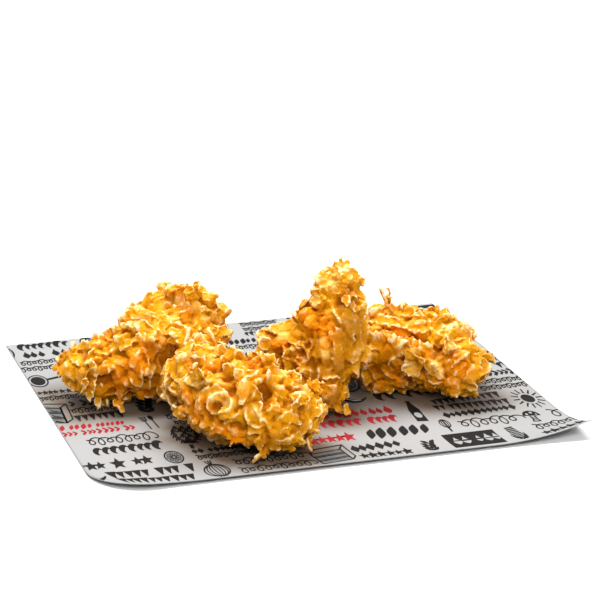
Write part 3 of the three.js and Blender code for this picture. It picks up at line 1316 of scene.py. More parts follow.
    def placed_balls(self, ball: Template) -> np.ndarray:
        """Dents, stretches and turns the listed balls.

        Args:
            ball: The template.

        Returns:
            The corner points of each ball.
        """
        rows = np.array(self.forms.balls)
        places = np.array([self.surface.seen(self.view, row[0], row[1]) for row in rows])
        normals = self.surface.outward(places)
        middle = self.view.side / 2
        ahead = self.view.sight(middle, middle)
        turns = [(9 * math.sin(t), 9 * math.cos(t)) for t in np.radians(rows[:, 4])]
        heading = np.array([self.view.sight(middle + x, middle - y) - ahead for x, y in turns])
        first = unit(heading - (heading * normals).sum(axis=1, keepdims=True) * normals)
        second = np.cross(normals, first)
        radius = rows[:, 2, None, None]
        shifts = [Vector((k, 0, self.seed)) for k in range(len(rows))]
        dents = [[noise.noise(Vector(p) * 1.4 + shift) for p in ball.points] for shift in shifts]
        shape = ball.points[None] * radius * (1 + 0.45 * np.array(dents))[..., None]
        shape[..., 0] *= rows[:, 3:4]
        shape[..., 2] *= 0.85
        centre = places + self.pitted(places) - normals * rows[:, 2:3] * 0.3
        self.beads.append((centre, rows[:, 2] * 1.3))
        return laid_out(centre, shape, (first, second, normals))

    def nodule_points(self, kind: Nodules, ball: Template, zones: tuple[Row, ...] | None) -> np.ndarray:
        """Squashes and turns copies of the ball into nodules half sunk in the body.

        Args:
            kind: The kind of nodule.
            ball: The template.
            zones: The crumbly zones that they keep to, or None for bunches all over.

        Returns:
            The corner points of each nodule.
        """
        places, normals = self.surface.scatter(kind.spacing, self.dice)
        if zones is None:
            shift = Vector((self.seed, 3, 0))
            kept = np.array([noise.noise(Vector(p) / 10 + shift) > -0.1 for p in places])
            kept &= self.is_free(places, 2.5)
        else:
            kept = self.zone_share(places, zones) > ZONE_EDGE
        places, normals = places[kept], normals[kept]
        free = self.gaps(places, self.clear) >= self.clear
        places, normals = places[free], normals[free]
        places = places + self.pitted(places)
        count = len(places)
        radius = kind.radius[0] + (kind.radius[1] - kind.radius[0]) * self.dice.random((count, 1)) ** 2.2
        stretch = self.dice.uniform(0.7, 1.5, (count, 3))
        flow = noise_directions(places, 9, self.seed + 5) + 0.4 * self.dice.normal(size=(count, 3))
        first = unit(flow)
        second = unit(np.cross(first, normals))
        third = np.cross(first, second)
        shape = ball.points[None] * (radius * stretch)[:, None]
        centre = places + normals * radius * self.dice.uniform(-0.1, 0.5, (count, 1))
        self.beads.append((centre, radius[:, 0] * 1.35))
        return laid_out(centre, shape, (first, second, third))

    def zone_share(self, points: np.ndarray, zones: tuple[Row, ...]) -> np.ndarray:
        """Works out how far each point is in the given zones.

        Args:
            points: Rows of x, y, z in millimetres.
            zones: The x and y of each zone's middle and its radius.

        Returns:
            A share from 0 to 1 for each point, ZONE_EDGE at a zone's radius.
        """
        share = np.zeros(len(points))
        for x, y, radius in zones:
            middle = self.surface.seen(self.view, x, y)
            share = np.maximum(share, np.exp(-(((points - middle) ** 2).sum(axis=1) / radius**2)))
        return share

    def bead_share(self, points: np.ndarray) -> np.ndarray:
        """Works out how far each point belongs to a rounded nodule.

        Args:
            points: Rows of x, y, z in millimetres.

        Returns:
            A share from 0 to 1 for each point.
        """
        tree = tree_of(np.concatenate([centre for centre, _ in self.beads]))
        radii = np.concatenate([radius for _, radius in self.beads])
        found = [tree.find(p)[1:] for p in points]
        share = np.array([distance / radii[i] for i, distance in found])
        return np.clip(2.2 - 1.6 * share, 0, 1)

    def fused(self, parts: list[tuple[np.ndarray, np.ndarray]]) -> bpy.types.Object:
        """Fuses all parts into one closed skin.

        Args:
            parts: The points and triangles of each part, in millimetres.

        Returns:
            The new piece, named for its wing.
        """
        shifts = np.cumsum([0] + [len(points) for points, _ in parts[:-1]])
        points = np.concatenate([points for points, _ in parts]) * MM
        triangles = np.concatenate([rows + shift for (_, rows), shift in zip(parts, shifts)])
        piece = bpy.data.objects.new("crust_" + self.node, mesh_from_triangles("crust", points, triangles))
        bpy.context.scene.collection.objects.link(piece)
        apply_modifier(piece, "REMESH", mode="VOXEL", voxel_size=self.voxel * MM, use_smooth_shade=True)
        return largest_part(piece)

    def roughen(self, piece: bpy.types.Object) -> None:
        """Bends the skin out of its regular forms, pits it and thins out its triangles.

        Args:
            piece: The fused crust.
        """
        warp = ("COLOR", "RGB_TO_XYZ", 2.6, 0.8)
        pits = ("GRAYSCALE", "NORMAL", 0.9, 0.4)
        apply_modifier(piece, "SMOOTH", factor=0.5, iterations=1)
        for kind, direction, size, strength in (warp, pits):
            clouds = bpy.data.textures.new("clouds", "CLOUDS")
            clouds.cloud_type = kind
            clouds.noise_scale = size * MM
            clouds.noise_depth = 1
            push = {"texture_coords": "LOCAL", "direction": direction, "strength": strength * MM}
            apply_modifier(piece, "DISPLACE", texture=clouds, **push)
        triangles = len(read_triangles(piece.data))
        log.info("%s: %d triangles before thinning", piece.name, triangles)
        if triangles > self.most_triangles:
            apply_modifier(piece, "DECIMATE", ratio=self.most_triangles / triangles)

    def rest_on_paper(self, piece: bpy.types.Object) -> None:
        """Flattens what would reach into the paper or above the CAD part.

        Args:
            piece: The crust.
        """
        points = read_points(piece.data)
        points[:, 2] = np.clip(points[:, 2], self.floor * MM, cad_box[1][2] - 0.05 * MM)
        write_points(piece.data, points)

    def store_relief(self, piece: bpy.types.Object) -> None:
        """Stores how far each point stands out from its surroundings and from the body, and its zones.

        Args:
            piece: The finished crust.
        """
        mesh = piece.data
        points = read_points(mesh) / MM
        normals = read_normals(mesh)
        edges = np.empty(len(mesh.edges) * 2, dtype=np.int32)
        mesh.edges.foreach_get("vertices", edges)
        a, b = edges.reshape(-1, 2).T
        count = len(points)
        degree = np.bincount(a, minlength=count) + np.bincount(b, minlength=count)
        smooth = points.copy()
        done = 0
        layers = {}
        for name, rounds, scale in (("ridge", 14, 0.85), ("crag", 60, 1.7)):
            while done < rounds:
                axes = [(smooth[a, k], smooth[b, k]) for k in range(3)]
                total = [np.bincount(a, far, count) + np.bincount(b, near, count) for near, far in axes]
                smooth = np.stack(total, axis=1) / degree[:, None]
                done += 1
            layers[name] = 0.5 + 0.5 * ((points - smooth) * normals).sum(axis=1) / scale
        found = [self.surface.tree.find_nearest(Vector(p))[:2] for p in points]
        foot = np.array([place for place, _ in found])
        outward = np.array([normal for _, normal in found])
        layers["height"] = 0.4 + ((points - foot) * outward).sum(axis=1) / 7
        layers["bead"] = self.bead_share(points)
        # The brown zones are painted shade in the pits, and the tan zones partly painted shade on the sides
        # turned from the light.
        for zone in ("orange", "shade_brown", "tan", "cream"):
            layers[zone] = self.zone_share(points, getattr(self.forms, zone))
        for name, values in layers.items():
            layer = mesh.attributes.new(name, "FLOAT", "POINT")
            layer.data.foreach_set("value", np.clip(values, 0, 1).astype(np.float32))


# The larger forms of the four crusts

LEFT = Forms(
    lips=(
        (3.0, 91, 398, 94, 388, 96, 376, 97, 366, 91, 359), (1.5, 70, 360, 79, 365, 87, 365, 94, 361),
        (2.4, 97, 365, 100, 372, 107, 373, 114, 367),
        (2.4, 128, 371, 131, 380, 136, 384, 142, 381, 142, 372),
        (2.0, 164, 331, 168, 325, 168, 317, 163, 309), (1.8, 118, 347, 126, 349, 133, 344, 138, 337),
        (1.8, 152, 343, 158, 337, 166, 334, 173, 336), (1.6, 143, 350, 147, 358, 149, 366, 146, 372),
        (1.5, 96, 352, 103, 356, 110, 354, 116, 350), (1.6, 68, 348, 76, 351, 84, 350, 91, 346),
        (1.8, 118, 331, 127, 327, 136, 330, 143, 334), (1.6, 128, 318, 137, 313, 146, 311),
        (1.6, 176, 300, 186, 297, 195, 299, 199, 306), (1.4, 151, 292, 160, 290, 170, 291, 180, 289),
        (1.6, 203, 311, 211, 313, 219, 309, 223, 302), (1.6, 55, 371, 62, 381, 72, 389, 82, 394),
    ),
    ropes=(
        (1.6, 177, 320, 172, 321, 170, 325, 172, 330, 177, 330),
        (1.5, 150, 316, 156, 319, 160, 325, 158, 332, 152, 336), (1.0, 62, 366, 67, 374, 76, 380, 82, 378),
        (1.4, 150, 394, 149, 382, 152, 370, 157, 361), (1.3, 160, 392, 162, 382, 161, 371, 158, 361),
        (1.6, 175, 307, 182, 306, 189, 305, 193, 301, 192, 296),
        (1.5, 176, 314, 183, 313, 190, 311, 194, 307), (1.5, 196, 311, 203, 308, 209, 306),
        (1.3, 164, 303, 170, 305, 175, 309), (1.2, 170, 298, 177, 296, 185, 295),
        (1.2, 200, 298, 206, 302, 212, 300), (1.2, 62, 362, 67, 370, 75, 379, 84, 387),
        (1.2, 72, 364, 78, 371, 86, 377, 90, 384), (1.0, 76, 390, 83, 385, 90, 379),
    ),
    petals=(
        (131, 321, 121, 309, 6.5), (74, 349, 71, 339, 5), (133, 341, 120, 348, 5), (86, 352, 84, 341, 5),
        (97, 342, 96, 332, 4), (113, 337, 112, 328, 4), (98, 396, 98, 414, 3.5), (105, 398, 108, 412, 4.5),
        (163, 290, 160, 283, 5), (160, 385, 168, 402, 6), (140, 306, 138, 299, 5), (58, 362, 54, 356, 5),
        (150, 296, 148, 290, 4), (139, 342, 138, 333, 4),
    ),
    balls=(
        (135, 361, 3.6, 1.5, 10), (136, 377, 3.2, 1.1, 0), (118, 373, 1.8, 1.6, 0),
        (117, 383, 2.6, 1.0, 0), (127, 366, 2.0, 1.2, 20), (125, 396, 3.2, 1.0, 0),
        (101, 392, 3.0, 1.7, 5), (128, 404, 2.6, 1.0, 0), (139, 402, 3.0, 1.0, 0),
        (138, 321, 5.0, 1.2, 60), (157, 324, 3.6, 1.3, 10), (151, 356, 2.2, 1.8, 0),
        (205, 321, 3.4, 1.0, 0), (216, 319, 4.0, 1.2, 0), (84, 378, 5.0, 1.5, -20), (66, 369, 3.6, 1.2, 0),
        (106, 368, 3.6, 1.1, 60), (181, 304, 1.8, 1.8, 70), (188, 312, 1.6, 1.7, 75),
        (199, 307, 1.6, 1.7, 70), (95, 346, 2.6, 1.3, 70), (163, 343, 3.4, 1.4, 20),
        (168, 398, 3.4, 1.3, 30),
    ),
    pits=(
        (106, 379, 4.0, 2.6), (115, 394, 3.6, 2.6), (130, 389, 2.8, 2.0), (147, 396, 3.4, 2.4),
        (125, 395, 0.9, 2.0), (78, 380, 1.4, 1.4), (150, 345, 2.6, 1.8), (170, 314, 2.0, 1.2),
        (229, 318, 7, 2.4), (232, 335, 7, 2.6), (203, 281, 4, 3.0), (178, 286, 7, -3.0),
        (165, 289, 6, -2.0), (190, 286, 6, -1.6), (125, 315, 6, -3.0), (141, 323, 5, -1.6),
        (98, 340, 6, -1.6), (64, 390, 5, 1.6),
    ),
    smooth=(
        (137, 322, 7), (150, 318, 5), (156, 328, 4), (84, 378, 6), (66, 369, 4), (135, 362, 4),
        (212, 320, 5), (163, 345, 4), (157, 375, 4), (101, 392, 4), (106, 368, 4),
    ),
    drops=((190, 306, 6), (122, 372, 5), (140, 378, 5), (132, 396, 7)),
    crumbs=(
        (68, 354, 6), (78, 344, 5), (110, 335, 6), (195, 288, 8), (165, 288, 6), (215, 303, 5),
        (104, 354, 5),
    ),
    orange=((135, 366, 8), (120, 378, 7), (190, 313, 5), (140, 350, 5), (103, 340, 5)),
    shade_brown=((108, 380, 6), (116, 394, 6), (130, 390, 5), (148, 396, 7), (152, 348, 5), (165, 362, 6)),
    tan=(
        (84, 380, 9), (212, 321, 9), (165, 345, 8), (165, 400, 9), (64, 356, 6), (100, 400, 7),
        (143, 322, 8),
    ),
    cream=((182, 302, 5), (196, 306, 4), (170, 318, 3)),
)
FRONT = Forms(
    lips=(
        (2.0, 186, 383, 194, 386, 204, 384, 214, 382),
        (1.5, 213, 376, 208, 371, 202, 373, 196, 371, 190, 374),
        (2.0, 227, 398, 222, 390, 214, 386, 205, 389),
        (2.4, 262, 414, 262, 404, 260, 396, 256, 388, 249, 381),
        (2.0, 241, 377, 239, 385, 238, 392, 233, 399), (2.0, 271, 370, 266, 376, 268, 386),
        (1.5, 164, 374, 170, 382, 176, 388), (1.5, 168, 370, 176, 379, 184, 386),
        (1.8, 167, 372, 168, 362, 172, 355, 180, 352, 186, 355),
        (1.8, 287, 384, 293, 389, 301, 387, 309, 391), (1.5, 283, 367, 292, 373, 300, 381, 310, 387),
        (1.5, 287, 359, 296, 367, 306, 376, 316, 385), (1.6, 228, 359, 237, 353, 247, 351, 257, 353),
        (1.5, 262, 361, 266, 368, 273, 369), (1.6, 171, 404, 178, 412, 186, 419, 194, 424),
        (1.5, 314, 394, 319, 402, 320, 412, 316, 420), (1.4, 300, 430, 292, 436, 284, 440, 276, 441),
        (1.6, 207, 425, 216, 427, 225, 424), (1.6, 228, 441, 236, 446, 246, 445, 254, 440),
        (1.4, 215, 352, 219, 346, 226, 342, 232, 345), (1.6, 243, 427, 250, 432, 258, 433),
    ),
    ropes=(
        (2.4, 211, 409, 209, 402, 213, 396, 219, 394, 226, 396, 232, 401, 233, 407, 228, 411, 221, 412,
         214, 411),
        (1.8, 238, 371, 243, 378, 250, 379, 258, 375, 264, 367),
        (1.3, 268, 382, 267, 375, 272, 370, 280, 371, 286, 377, 286, 384, 281, 389),
        (0.9, 273, 382, 273, 377, 278, 375, 281, 379),
        (1.8, 246, 402, 245, 410, 247, 418, 253, 425, 260, 427, 263, 421, 257, 416),
        (1.2, 249, 401, 254, 407, 259, 414, 264, 419),
        (1.1, 262, 409, 266, 405, 271, 402, 271, 408, 266, 411),
        (1.5, 264, 418, 268, 424, 272, 432, 276, 439), (1.0, 229, 422, 229, 430, 230, 438),
        (1.4, 256, 383, 254, 392, 252, 400),
    ),
    petals=(
        (181, 350, 184, 327, 5), (187, 335, 188, 325, 4.5), (199, 342, 200, 330, 5.5),
        (215, 343, 212, 328, 6), (222, 356, 221, 338, 4.5), (232, 356, 233, 341, 4),
        (228, 371, 223, 358, 4), (240, 383, 236, 367, 5), (178, 408, 170, 404, 4.5),
        (316, 400, 323, 398, 4.5), (315, 412, 322, 412, 4.5), (270, 361, 268, 354, 4),
        (279, 362, 278, 355, 4), (303, 374, 308, 370, 4), (313, 384, 318, 381, 4), (246, 444, 247, 452, 4),
        (275, 446, 274, 453, 5), (266, 362, 262, 352, 4), (180, 395, 170, 390, 5),
    ),
    balls=(
        (181, 372, 2.8, 1.3, -30), (187, 399, 3.4, 1.2, 20), (183, 411, 3.2, 1.0, 0),
        (199, 413, 3.6, 1.1, 0), (205, 427, 2.4, 1.6, 10), (195, 424, 2.6, 1.0, 0),
        (214, 438, 2.8, 1.1, 0), (220, 431, 3.2, 1.0, 0), (238, 436, 4.2, 1.4, 0), (212, 363, 3.4, 1.2, 0),
        (190, 342, 2.2, 1.0, 0), (281, 405, 2.5, 1.1, 0), (275, 399, 2.2, 1.0, 0), (308, 405, 2.6, 1.2, 0),
        (310, 424, 2.4, 1.2, 20), (293, 417, 2.2, 1.3, 0), (262, 438, 3.4, 1.2, 0),
        (275, 443, 3.2, 1.0, 0), (277, 424, 3.0, 1.2, 0), (222, 416, 2.4, 1.3, 80),
        (243, 390, 3.0, 2.2, 10), (300, 396, 3.0, 1.2, 60), (175, 362, 3.0, 1.2, 0),
        (251, 440, 2.6, 1.2, 0),
    ),
    pits=(
        (222, 369, 2.6, 1.8), (228, 378, 3.0, 2.6), (235, 388, 3.2, 2.6), (264, 384, 3.0, 2.6),
        (267, 394, 3.2, 3.0), (267, 404, 2.8, 2.4), (252, 364, 4.4, 2.0), (220, 405, 2.2, 2.0),
        (182, 395, 1.2, 1.6), (201, 389, 2.0, 1.0), (246, 428, 1.6, 1.6), (192, 405, 2.0, 1.4),
        (210, 419, 2.2, 1.4), (178, 417, 6, -1.4), (203, 434, 6, -1.6), (225, 446, 6, -1.4),
    ),
    smooth=(
        (252, 365, 5), (243, 390, 4), (212, 363, 4), (275, 380, 4), (181, 372, 3), (178, 360, 4),
        (218, 402, 5), (203, 379, 4), (235, 420, 3),
    ),
    drops=((188, 407, 5), (200, 419, 5), (220, 432, 5), (240, 437, 6), (265, 440, 6), (281, 410, 4)),
    crumbs=(
        (193, 360, 6), (296, 405, 6), (300, 425, 6), (294, 440, 7), (300, 372, 6), (238, 350, 5),
        (312, 393, 5),
    ),
    orange=(
        (188, 402, 7), (199, 414, 7), (220, 430, 6), (238, 434, 7), (252, 364, 6), (205, 404, 5),
        (212, 365, 5),
    ),
    shade_brown=(
        (223, 370, 3), (228, 379, 4), (235, 389, 4), (265, 388, 5), (267, 400, 5), (194, 360, 5),
        (220, 406, 3),
    ),
    tan=((297, 406, 6), (264, 442, 8), (280, 444, 7), (300, 427, 5), (175, 400, 5), (195, 358, 4)),
    cream=(
        (213, 397, 3.5), (229, 404, 3.5), (198, 383, 3), (255, 410, 3), (243, 386, 3), (282, 374, 4),
        (306, 388, 4),
    ),
)
UPRIGHT = Forms(
    lips=(
        (2.2, 255, 341, 262, 333, 271, 331, 281, 335, 291, 342, 299, 348),
        (2.2, 308, 360, 309, 351, 312, 343), (1.8, 304, 306, 311, 308, 318, 306, 322, 301),
        (1.8, 311, 291, 319, 293, 327, 290, 332, 284), (1.5, 270, 321, 279, 322, 288, 319, 296, 316),
        (1.6, 316, 361, 320, 352, 319, 346), (1.6, 320, 380, 329, 379, 338, 378, 345, 381),
        (1.6, 330, 372, 333, 360, 336, 350), (1.5, 350, 350, 353, 338, 352, 326),
        (1.4, 357, 345, 360, 334, 359, 322), (1.5, 346, 316, 352, 311, 360, 310),
        (1.5, 325, 406, 333, 405, 340, 400),
    ),
    ropes=(
        (2.4, 333, 308, 336, 316, 341, 323, 346, 330),
        (1.6, 290, 349, 297, 351, 303, 347, 301, 341, 295, 342),
        (1.3, 296, 361, 300, 366, 305, 364, 304, 359, 298, 358), (1.1, 310, 364, 312, 374, 309, 380),
        (1.0, 325, 349, 324, 360, 326, 370), (1.0, 318, 366, 319, 376, 316, 384),
        (1.2, 351, 361, 358, 358, 364, 362, 369, 370, 373, 380),
    ),
    petals=(
        (336, 273, 335, 265, 9), (343, 346, 337, 328, 3.5), (297, 321, 291, 312, 6),
        (318, 285, 311, 280, 5), (340, 352, 334, 344, 4), (305, 325, 300, 316, 5), (357, 292, 366, 297, 5),
        (352, 274, 357, 267, 6), (361, 284, 366, 280, 5), (275, 330, 268, 325, 4),
    ),
    balls=(
        (309, 322, 3.2, 1.2, 30), (325, 320, 3.0, 1.0, 0), (315, 331, 2.2, 1.7, -10),
        (322, 333, 2.6, 1.2, 0), (331, 327, 2.8, 1.2, 0), (306, 329, 2.2, 1.2, 0), (332, 337, 2.4, 1.2, 0),
        (324, 344, 3.4, 1.2, 20), (324, 356, 2.8, 1.6, -10), (297, 334, 2.8, 1.2, 0),
        (301, 363, 2.2, 1.0, 0), (280, 341, 4.2, 1.6, 65), (352, 322, 4.6, 1.8, 0),
        (313, 301, 3.0, 1.0, 0), (337, 364, 4.0, 1.8, 0), (331, 395, 4.0, 1.4, 20),
        (304, 335, 1.8, 1.0, 0), (304, 312, 3.4, 1.2, 30),
    ),
    pits=(
        (277, 353, 3.0, 2.2), (333, 281, 1.4, 1.6), (350, 289, 1.8, 1.8), (343, 297, 1.8, 1.6),
        (357, 296, 1.8, 1.8), (308, 345, 1.6, 1.8), (327, 354, 1.0, 1.2), (325, 307, 2.0, 1.4),
        (340, 303, 2.4, 1.6), (316, 287, 6, -2.2), (323, 279, 5, -0.8), (306, 303, 7, 2.2),
        (299, 309, 5, 2.0), (336, 259, 4, 3.0), (347, 389, 6, 4.6), (343, 402, 6, 4.6),
        (258, 338, 6, -3.5),
    ),
    smooth=(
        (352, 325, 7), (355, 345, 6), (280, 341, 5), (335, 366, 6), (309, 321, 4), (312, 352, 3),
        (331, 396, 5), (340, 313, 4),
    ),
    drops=((320, 330, 6), (328, 320, 5), (332, 336, 4)),
    crumbs=(
        (345, 272, 8), (335, 285, 7), (355, 285, 7), (320, 295, 6), (350, 297, 5), (285, 320, 6),
        (327, 278, 6),
    ),
    orange=((322, 325, 8), (310, 318, 6), (331, 335, 6), (303, 312, 5), (280, 341, 5)),
    shade_brown=(
        (350, 292, 5), (333, 281, 3), (278, 354, 5), (308, 346, 3), (300, 356, 5), (340, 300, 4),
        (318, 385, 6),
    ),
    tan=((352, 330, 14), (350, 300, 7), (335, 365, 10), (331, 398, 9), (358, 285, 4), (318, 370, 7)),
    cream=((340, 270, 6), (332, 284, 4), (322, 342, 3), (325, 354, 3), (284, 338, 4), (315, 300, 4)),
)
RIGHT = Forms(
    lips=(
        (2.2, 366, 324, 376, 325, 386, 327, 395, 327, 404, 329, 412, 332, 420, 333, 429, 331),
        (2.4, 433, 350, 425, 345, 416, 342, 408, 338, 400, 341, 391, 337, 384, 334, 375, 336, 364, 333),
        (3.8, 413, 345, 410, 352, 406, 360, 404, 367, 411, 372, 417, 374),
        (2.4, 419, 373, 422, 364, 423, 355, 420, 346), (2.2, 443, 378, 437, 368, 430, 361, 424, 359),
        (2.2, 424, 361, 427, 369, 432, 377, 438, 383), (2.6, 439, 351, 446, 350, 454, 350, 461, 348),
        (1.8, 430, 340, 434, 346, 441, 346, 446, 341), (1.6, 368, 314, 377, 315, 387, 314, 396, 313),
        (1.6, 398, 317, 408, 318, 418, 317, 426, 318), (1.8, 443, 324, 450, 321, 456, 326, 459, 334),
        (1.6, 462, 332, 467, 338, 470, 346), (1.6, 363, 345, 370, 349, 377, 350, 385, 350),
        (2.0, 387, 367, 391, 359, 398, 356), (1.8, 480, 376, 478, 366, 480, 357),
        (1.6, 372, 389, 381, 391, 389, 388), (1.4, 398, 384, 408, 386, 416, 384),
        (1.5, 440, 392, 450, 391, 460, 387, 468, 381),
    ),
    ropes=(
        (1.2, 380, 369, 388, 375, 397, 378, 406, 374), (1.4, 452, 377, 459, 369, 467, 363, 474, 359),
        (1.4, 447, 371, 454, 364, 462, 357, 469, 353), (1.3, 459, 378, 466, 371, 474, 366),
        (1.3, 445, 364, 451, 358, 458, 354), (1.2, 456, 384, 463, 377, 471, 373),
        (1.2, 368, 369, 373, 375, 377, 381), (1.4, 425, 373, 430, 379, 436, 386),
        (1.2, 412, 383, 414, 377, 419, 373),
    ),
    petals=(
        (395, 369, 395, 356, 5), (427, 361, 440, 376, 6), (478, 366, 490, 368, 9), (388, 313, 385, 300, 5),
        (387, 308, 383, 287, 3.2), (372, 313, 371, 302, 7), (381, 312, 381, 302, 6),
        (403, 312, 402, 303, 3.5), (411, 313, 410, 304, 5), (419, 318, 419, 309, 5),
        (446, 322, 446, 312, 5), (458, 322, 458, 314, 6.5), (429, 352, 426, 344, 5),
        (469, 340, 474, 334, 5), (417, 385, 424, 393, 4), (444, 390, 445, 398, 5), (455, 388, 456, 397, 5),
        (391, 388, 390, 396, 4), (467, 382, 476, 390, 6),
    ),
    balls=(
        (434, 313, 2.6, 1.4, 0), (403, 307, 2.4, 1.0, 0), (411, 307, 3.0, 1.2, 60),
        (379, 385, 3.0, 1.1, 0), (380, 391, 3.6, 1.6, 85), (418, 389, 3.0, 1.2, 60),
        (401, 384, 3.0, 1.2, 60), (390, 351, 5.0, 2.4, 80), (400, 333, 3.0, 3.0, 85),
        (455, 383, 4.4, 1.2, 60), (376, 309, 3.6, 1.4, 80), (430, 355, 2.6, 1.2, 30),
        (399, 364, 2.6, 1.0, 0), (471, 374, 4.0, 1.3, 20), (376, 328, 3.6, 1.8, 85),
        (418, 325, 3.0, 1.6, 80),
    ),
    pits=(
        (376, 371, 3.4, 2.8), (437, 350, 2.2, 1.8), (410, 381, 1.6, 1.6), (424, 370, 2.4, 1.8),
        (400, 360, 3.0, 1.2), (430, 388, 2.0, 1.4), (360, 384, 2.6, 1.6), (378, 330, 3.0, 1.4),
        (390, 333, 3.0, 1.8), (402, 336, 3.0, 2.0), (414, 339, 3.0, 2.0), (426, 341, 3.0, 2.0),
        (372, 319, 4.0, -1.4), (386, 321, 4.0, -1.6), (400, 323, 4.0, -1.6), (414, 325, 4.0, -1.6),
        (368, 336, 4.0, -1.8), (380, 340, 4.0, -2.0), (392, 344, 4.0, -2.2), (404, 349, 4.0, -2.0),
        (447, 331, 4.6, -3.0), (439, 347, 2.4, 2.0), (413, 359, 3.5, -1.6), (376, 311, 5, -2.5),
        (404, 309, 5, -2.0), (491, 358, 7, 2.2), (489, 384, 6, 2.8), (480, 398, 5, 2.0),
        (462, 322, 7, -4.0), (471, 335, 5, -3.0), (428, 309, 6, 1.8), (384, 394, 6, -1.6),
    ),
    smooth=(
        (375, 345, 6), (390, 352, 6), (392, 332, 5), (408, 335, 5), (423, 337, 4), (447, 331, 6),
        (450, 322, 6), (440, 326, 5), (376, 322, 4), (395, 319, 4), (415, 320, 4), (485, 368, 5),
        (413, 360, 4), (433, 368, 4), (450, 346, 4),
    ),
    drops=((456, 387, 5), (382, 388, 5), (405, 386, 5)),
    crumbs=(
        (429, 386, 4), (470, 340, 5), (395, 312, 5), (425, 316, 5), (372, 320, 5), (464, 325, 5),
        (475, 352, 5),
    ),
    orange=(
        (456, 365, 10), (395, 333, 8), (415, 336, 6), (379, 383, 4), (395, 374, 6), (450, 380, 7),
        (430, 356, 4),
    ),
    shade_brown=(
        (376, 371, 5), (437, 349, 4), (392, 362, 6), (410, 381, 4), (428, 372, 4), (362, 384, 6),
        (430, 389, 4),
    ),
    tan=((484, 366, 7), (382, 391, 6), (418, 390, 6), (404, 386, 6)),
    cream=(
        (411, 351, 3.5), (409, 364, 4), (414, 372, 3), (434, 364, 3.5), (440, 372, 3), (448, 348, 3),
        (457, 349, 3), (394, 359, 2),
    ),
)


# The paper


@dataclass
class Paper:
    """The sheet of serving paper, lifted a little at its front edge and corners as the CAD sheet is."""

    width: float = 240
    depth: float = 216
    thickness: float = 0.4
    corner_radius: float = 27
    front_lift: float = 1.6
    front_reach: float = 24
    right_lift: float = 7
    right_reach: float = 47
    left_lift: float = 3
    left_reach: float = 54
    cells: int = 150

    def lift(self, x: np.ndarray, y: np.ndarray) -> np.ndarray:
        """Works out how far the underside is off the table.

        Args:
            x: How far right each place is, in millimetres.
            y: How far back each place is.

        Returns:
            The height at each place, in millimetres.
        """
        from_front = y + self.depth / 2
        from_right_tip = self.width / 2 - x + from_front
        from_left_corner = x + self.width / 2 + from_front

        def ease(distance: np.ndarray, reach: float) -> np.ndarray:
            """Falls from 1 to 0 over the reach."""
            return np.maximum(0, 1 - distance / reach) ** 2

        return (
            self.front_lift * ease(from_front, self.front_reach)
            + self.right_lift * ease(from_right_tip, self.right_reach)
            + self.left_lift * ease(from_left_corner, self.left_reach)
        )

    def worn_corner(self, x: np.ndarray, y: np.ndarray) -> tuple[np.ndarray, np.ndarray]:
        """Draws the front-left corner in to a quarter circle.

        Args:
            x: How far right each place is, in millimetres.
            y: How far back each place is.

        Returns:
            The new x and y of each place.
        """
        radius = self.corner_radius
        u = np.maximum(0, -(x + self.width / 2 - radius) / radius)
        v = np.maximum(0, -(y + self.depth / 2 - radius) / radius)
        inside = (u > 0) & (v > 0)
        moved_x = x + radius * u * (1 - np.sqrt(1 - v * v / 2))
        moved_y = y + radius * v * (1 - np.sqrt(1 - u * u / 2))
        return np.where(inside, moved_x, x), np.where(inside, moved_y, y)

    def build(self, finish: bpy.types.Material) -> bpy.types.Object:
        """Models the sheet and dresses it.

        Args:
            finish: The paper's material.

        Returns:
            The finished piece.
        """
        deselect_all()
        bpy.ops.mesh.primitive_grid_add(x_subdivisions=self.cells, y_subdivisions=self.cells, size=1)
        piece = bpy.context.object
        piece.name = "printed_paper"
        points = read_points(piece.data)
        x, y = self.worn_corner(points[:, 0] * self.width, points[:, 1] * self.depth)
        write_points(piece.data, np.stack([x, y, self.lift(x, y)], axis=1) * MM)
        apply_modifier(piece, "SOLIDIFY", thickness=self.thickness * MM, offset=1.0)
        self.store_shadow_and_grease(piece)
        shade_smooth(piece)
        piece.data.materials.append(finish)
        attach(piece, "root")
        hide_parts("paper_liner")
        return piece

    def store_shadow_and_grease(self, piece: bpy.types.Object) -> None:
        """Stores a painted shadow mixed with grease, from the paper's distance to the wings.

        Args:
            piece: The sheet.
        """
        points = read_points(piece.data)
        near = np.full(len(points), 1e9)
        for name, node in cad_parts.items():
            if not name.startswith("wing"):
                continue
            low = read_points(node.data)
            low = low[low[:, 2] < 12 * MM]
            for start in range(0, len(points), 4000):
                block = points[start : start + 4000, None, :2] - low[None, :, :2]
                near[start : start + 4000] = np.minimum(
                    near[start : start + 4000], np.sqrt((block**2).sum(axis=2).min(axis=1))
                )
        # Painted shadow with grease, strongest beside the wings and fading over about 13 mm.
        shadow_and_grease = np.exp(-((near / (13 * MM)) ** 1.3))
        layer = piece.data.attributes.new("shadow_and_grease", "FLOAT", "POINT")
        layer.data.foreach_set("value", shadow_and_grease.astype(np.float32))


# The print on the paper


class Ink(Enum):
    """The inks of the print, each with its height over the paper in millimetres."""

    GREY = 0.03
    BLACK = 0.05
    RED = 0.06
    BLANK = 0.08


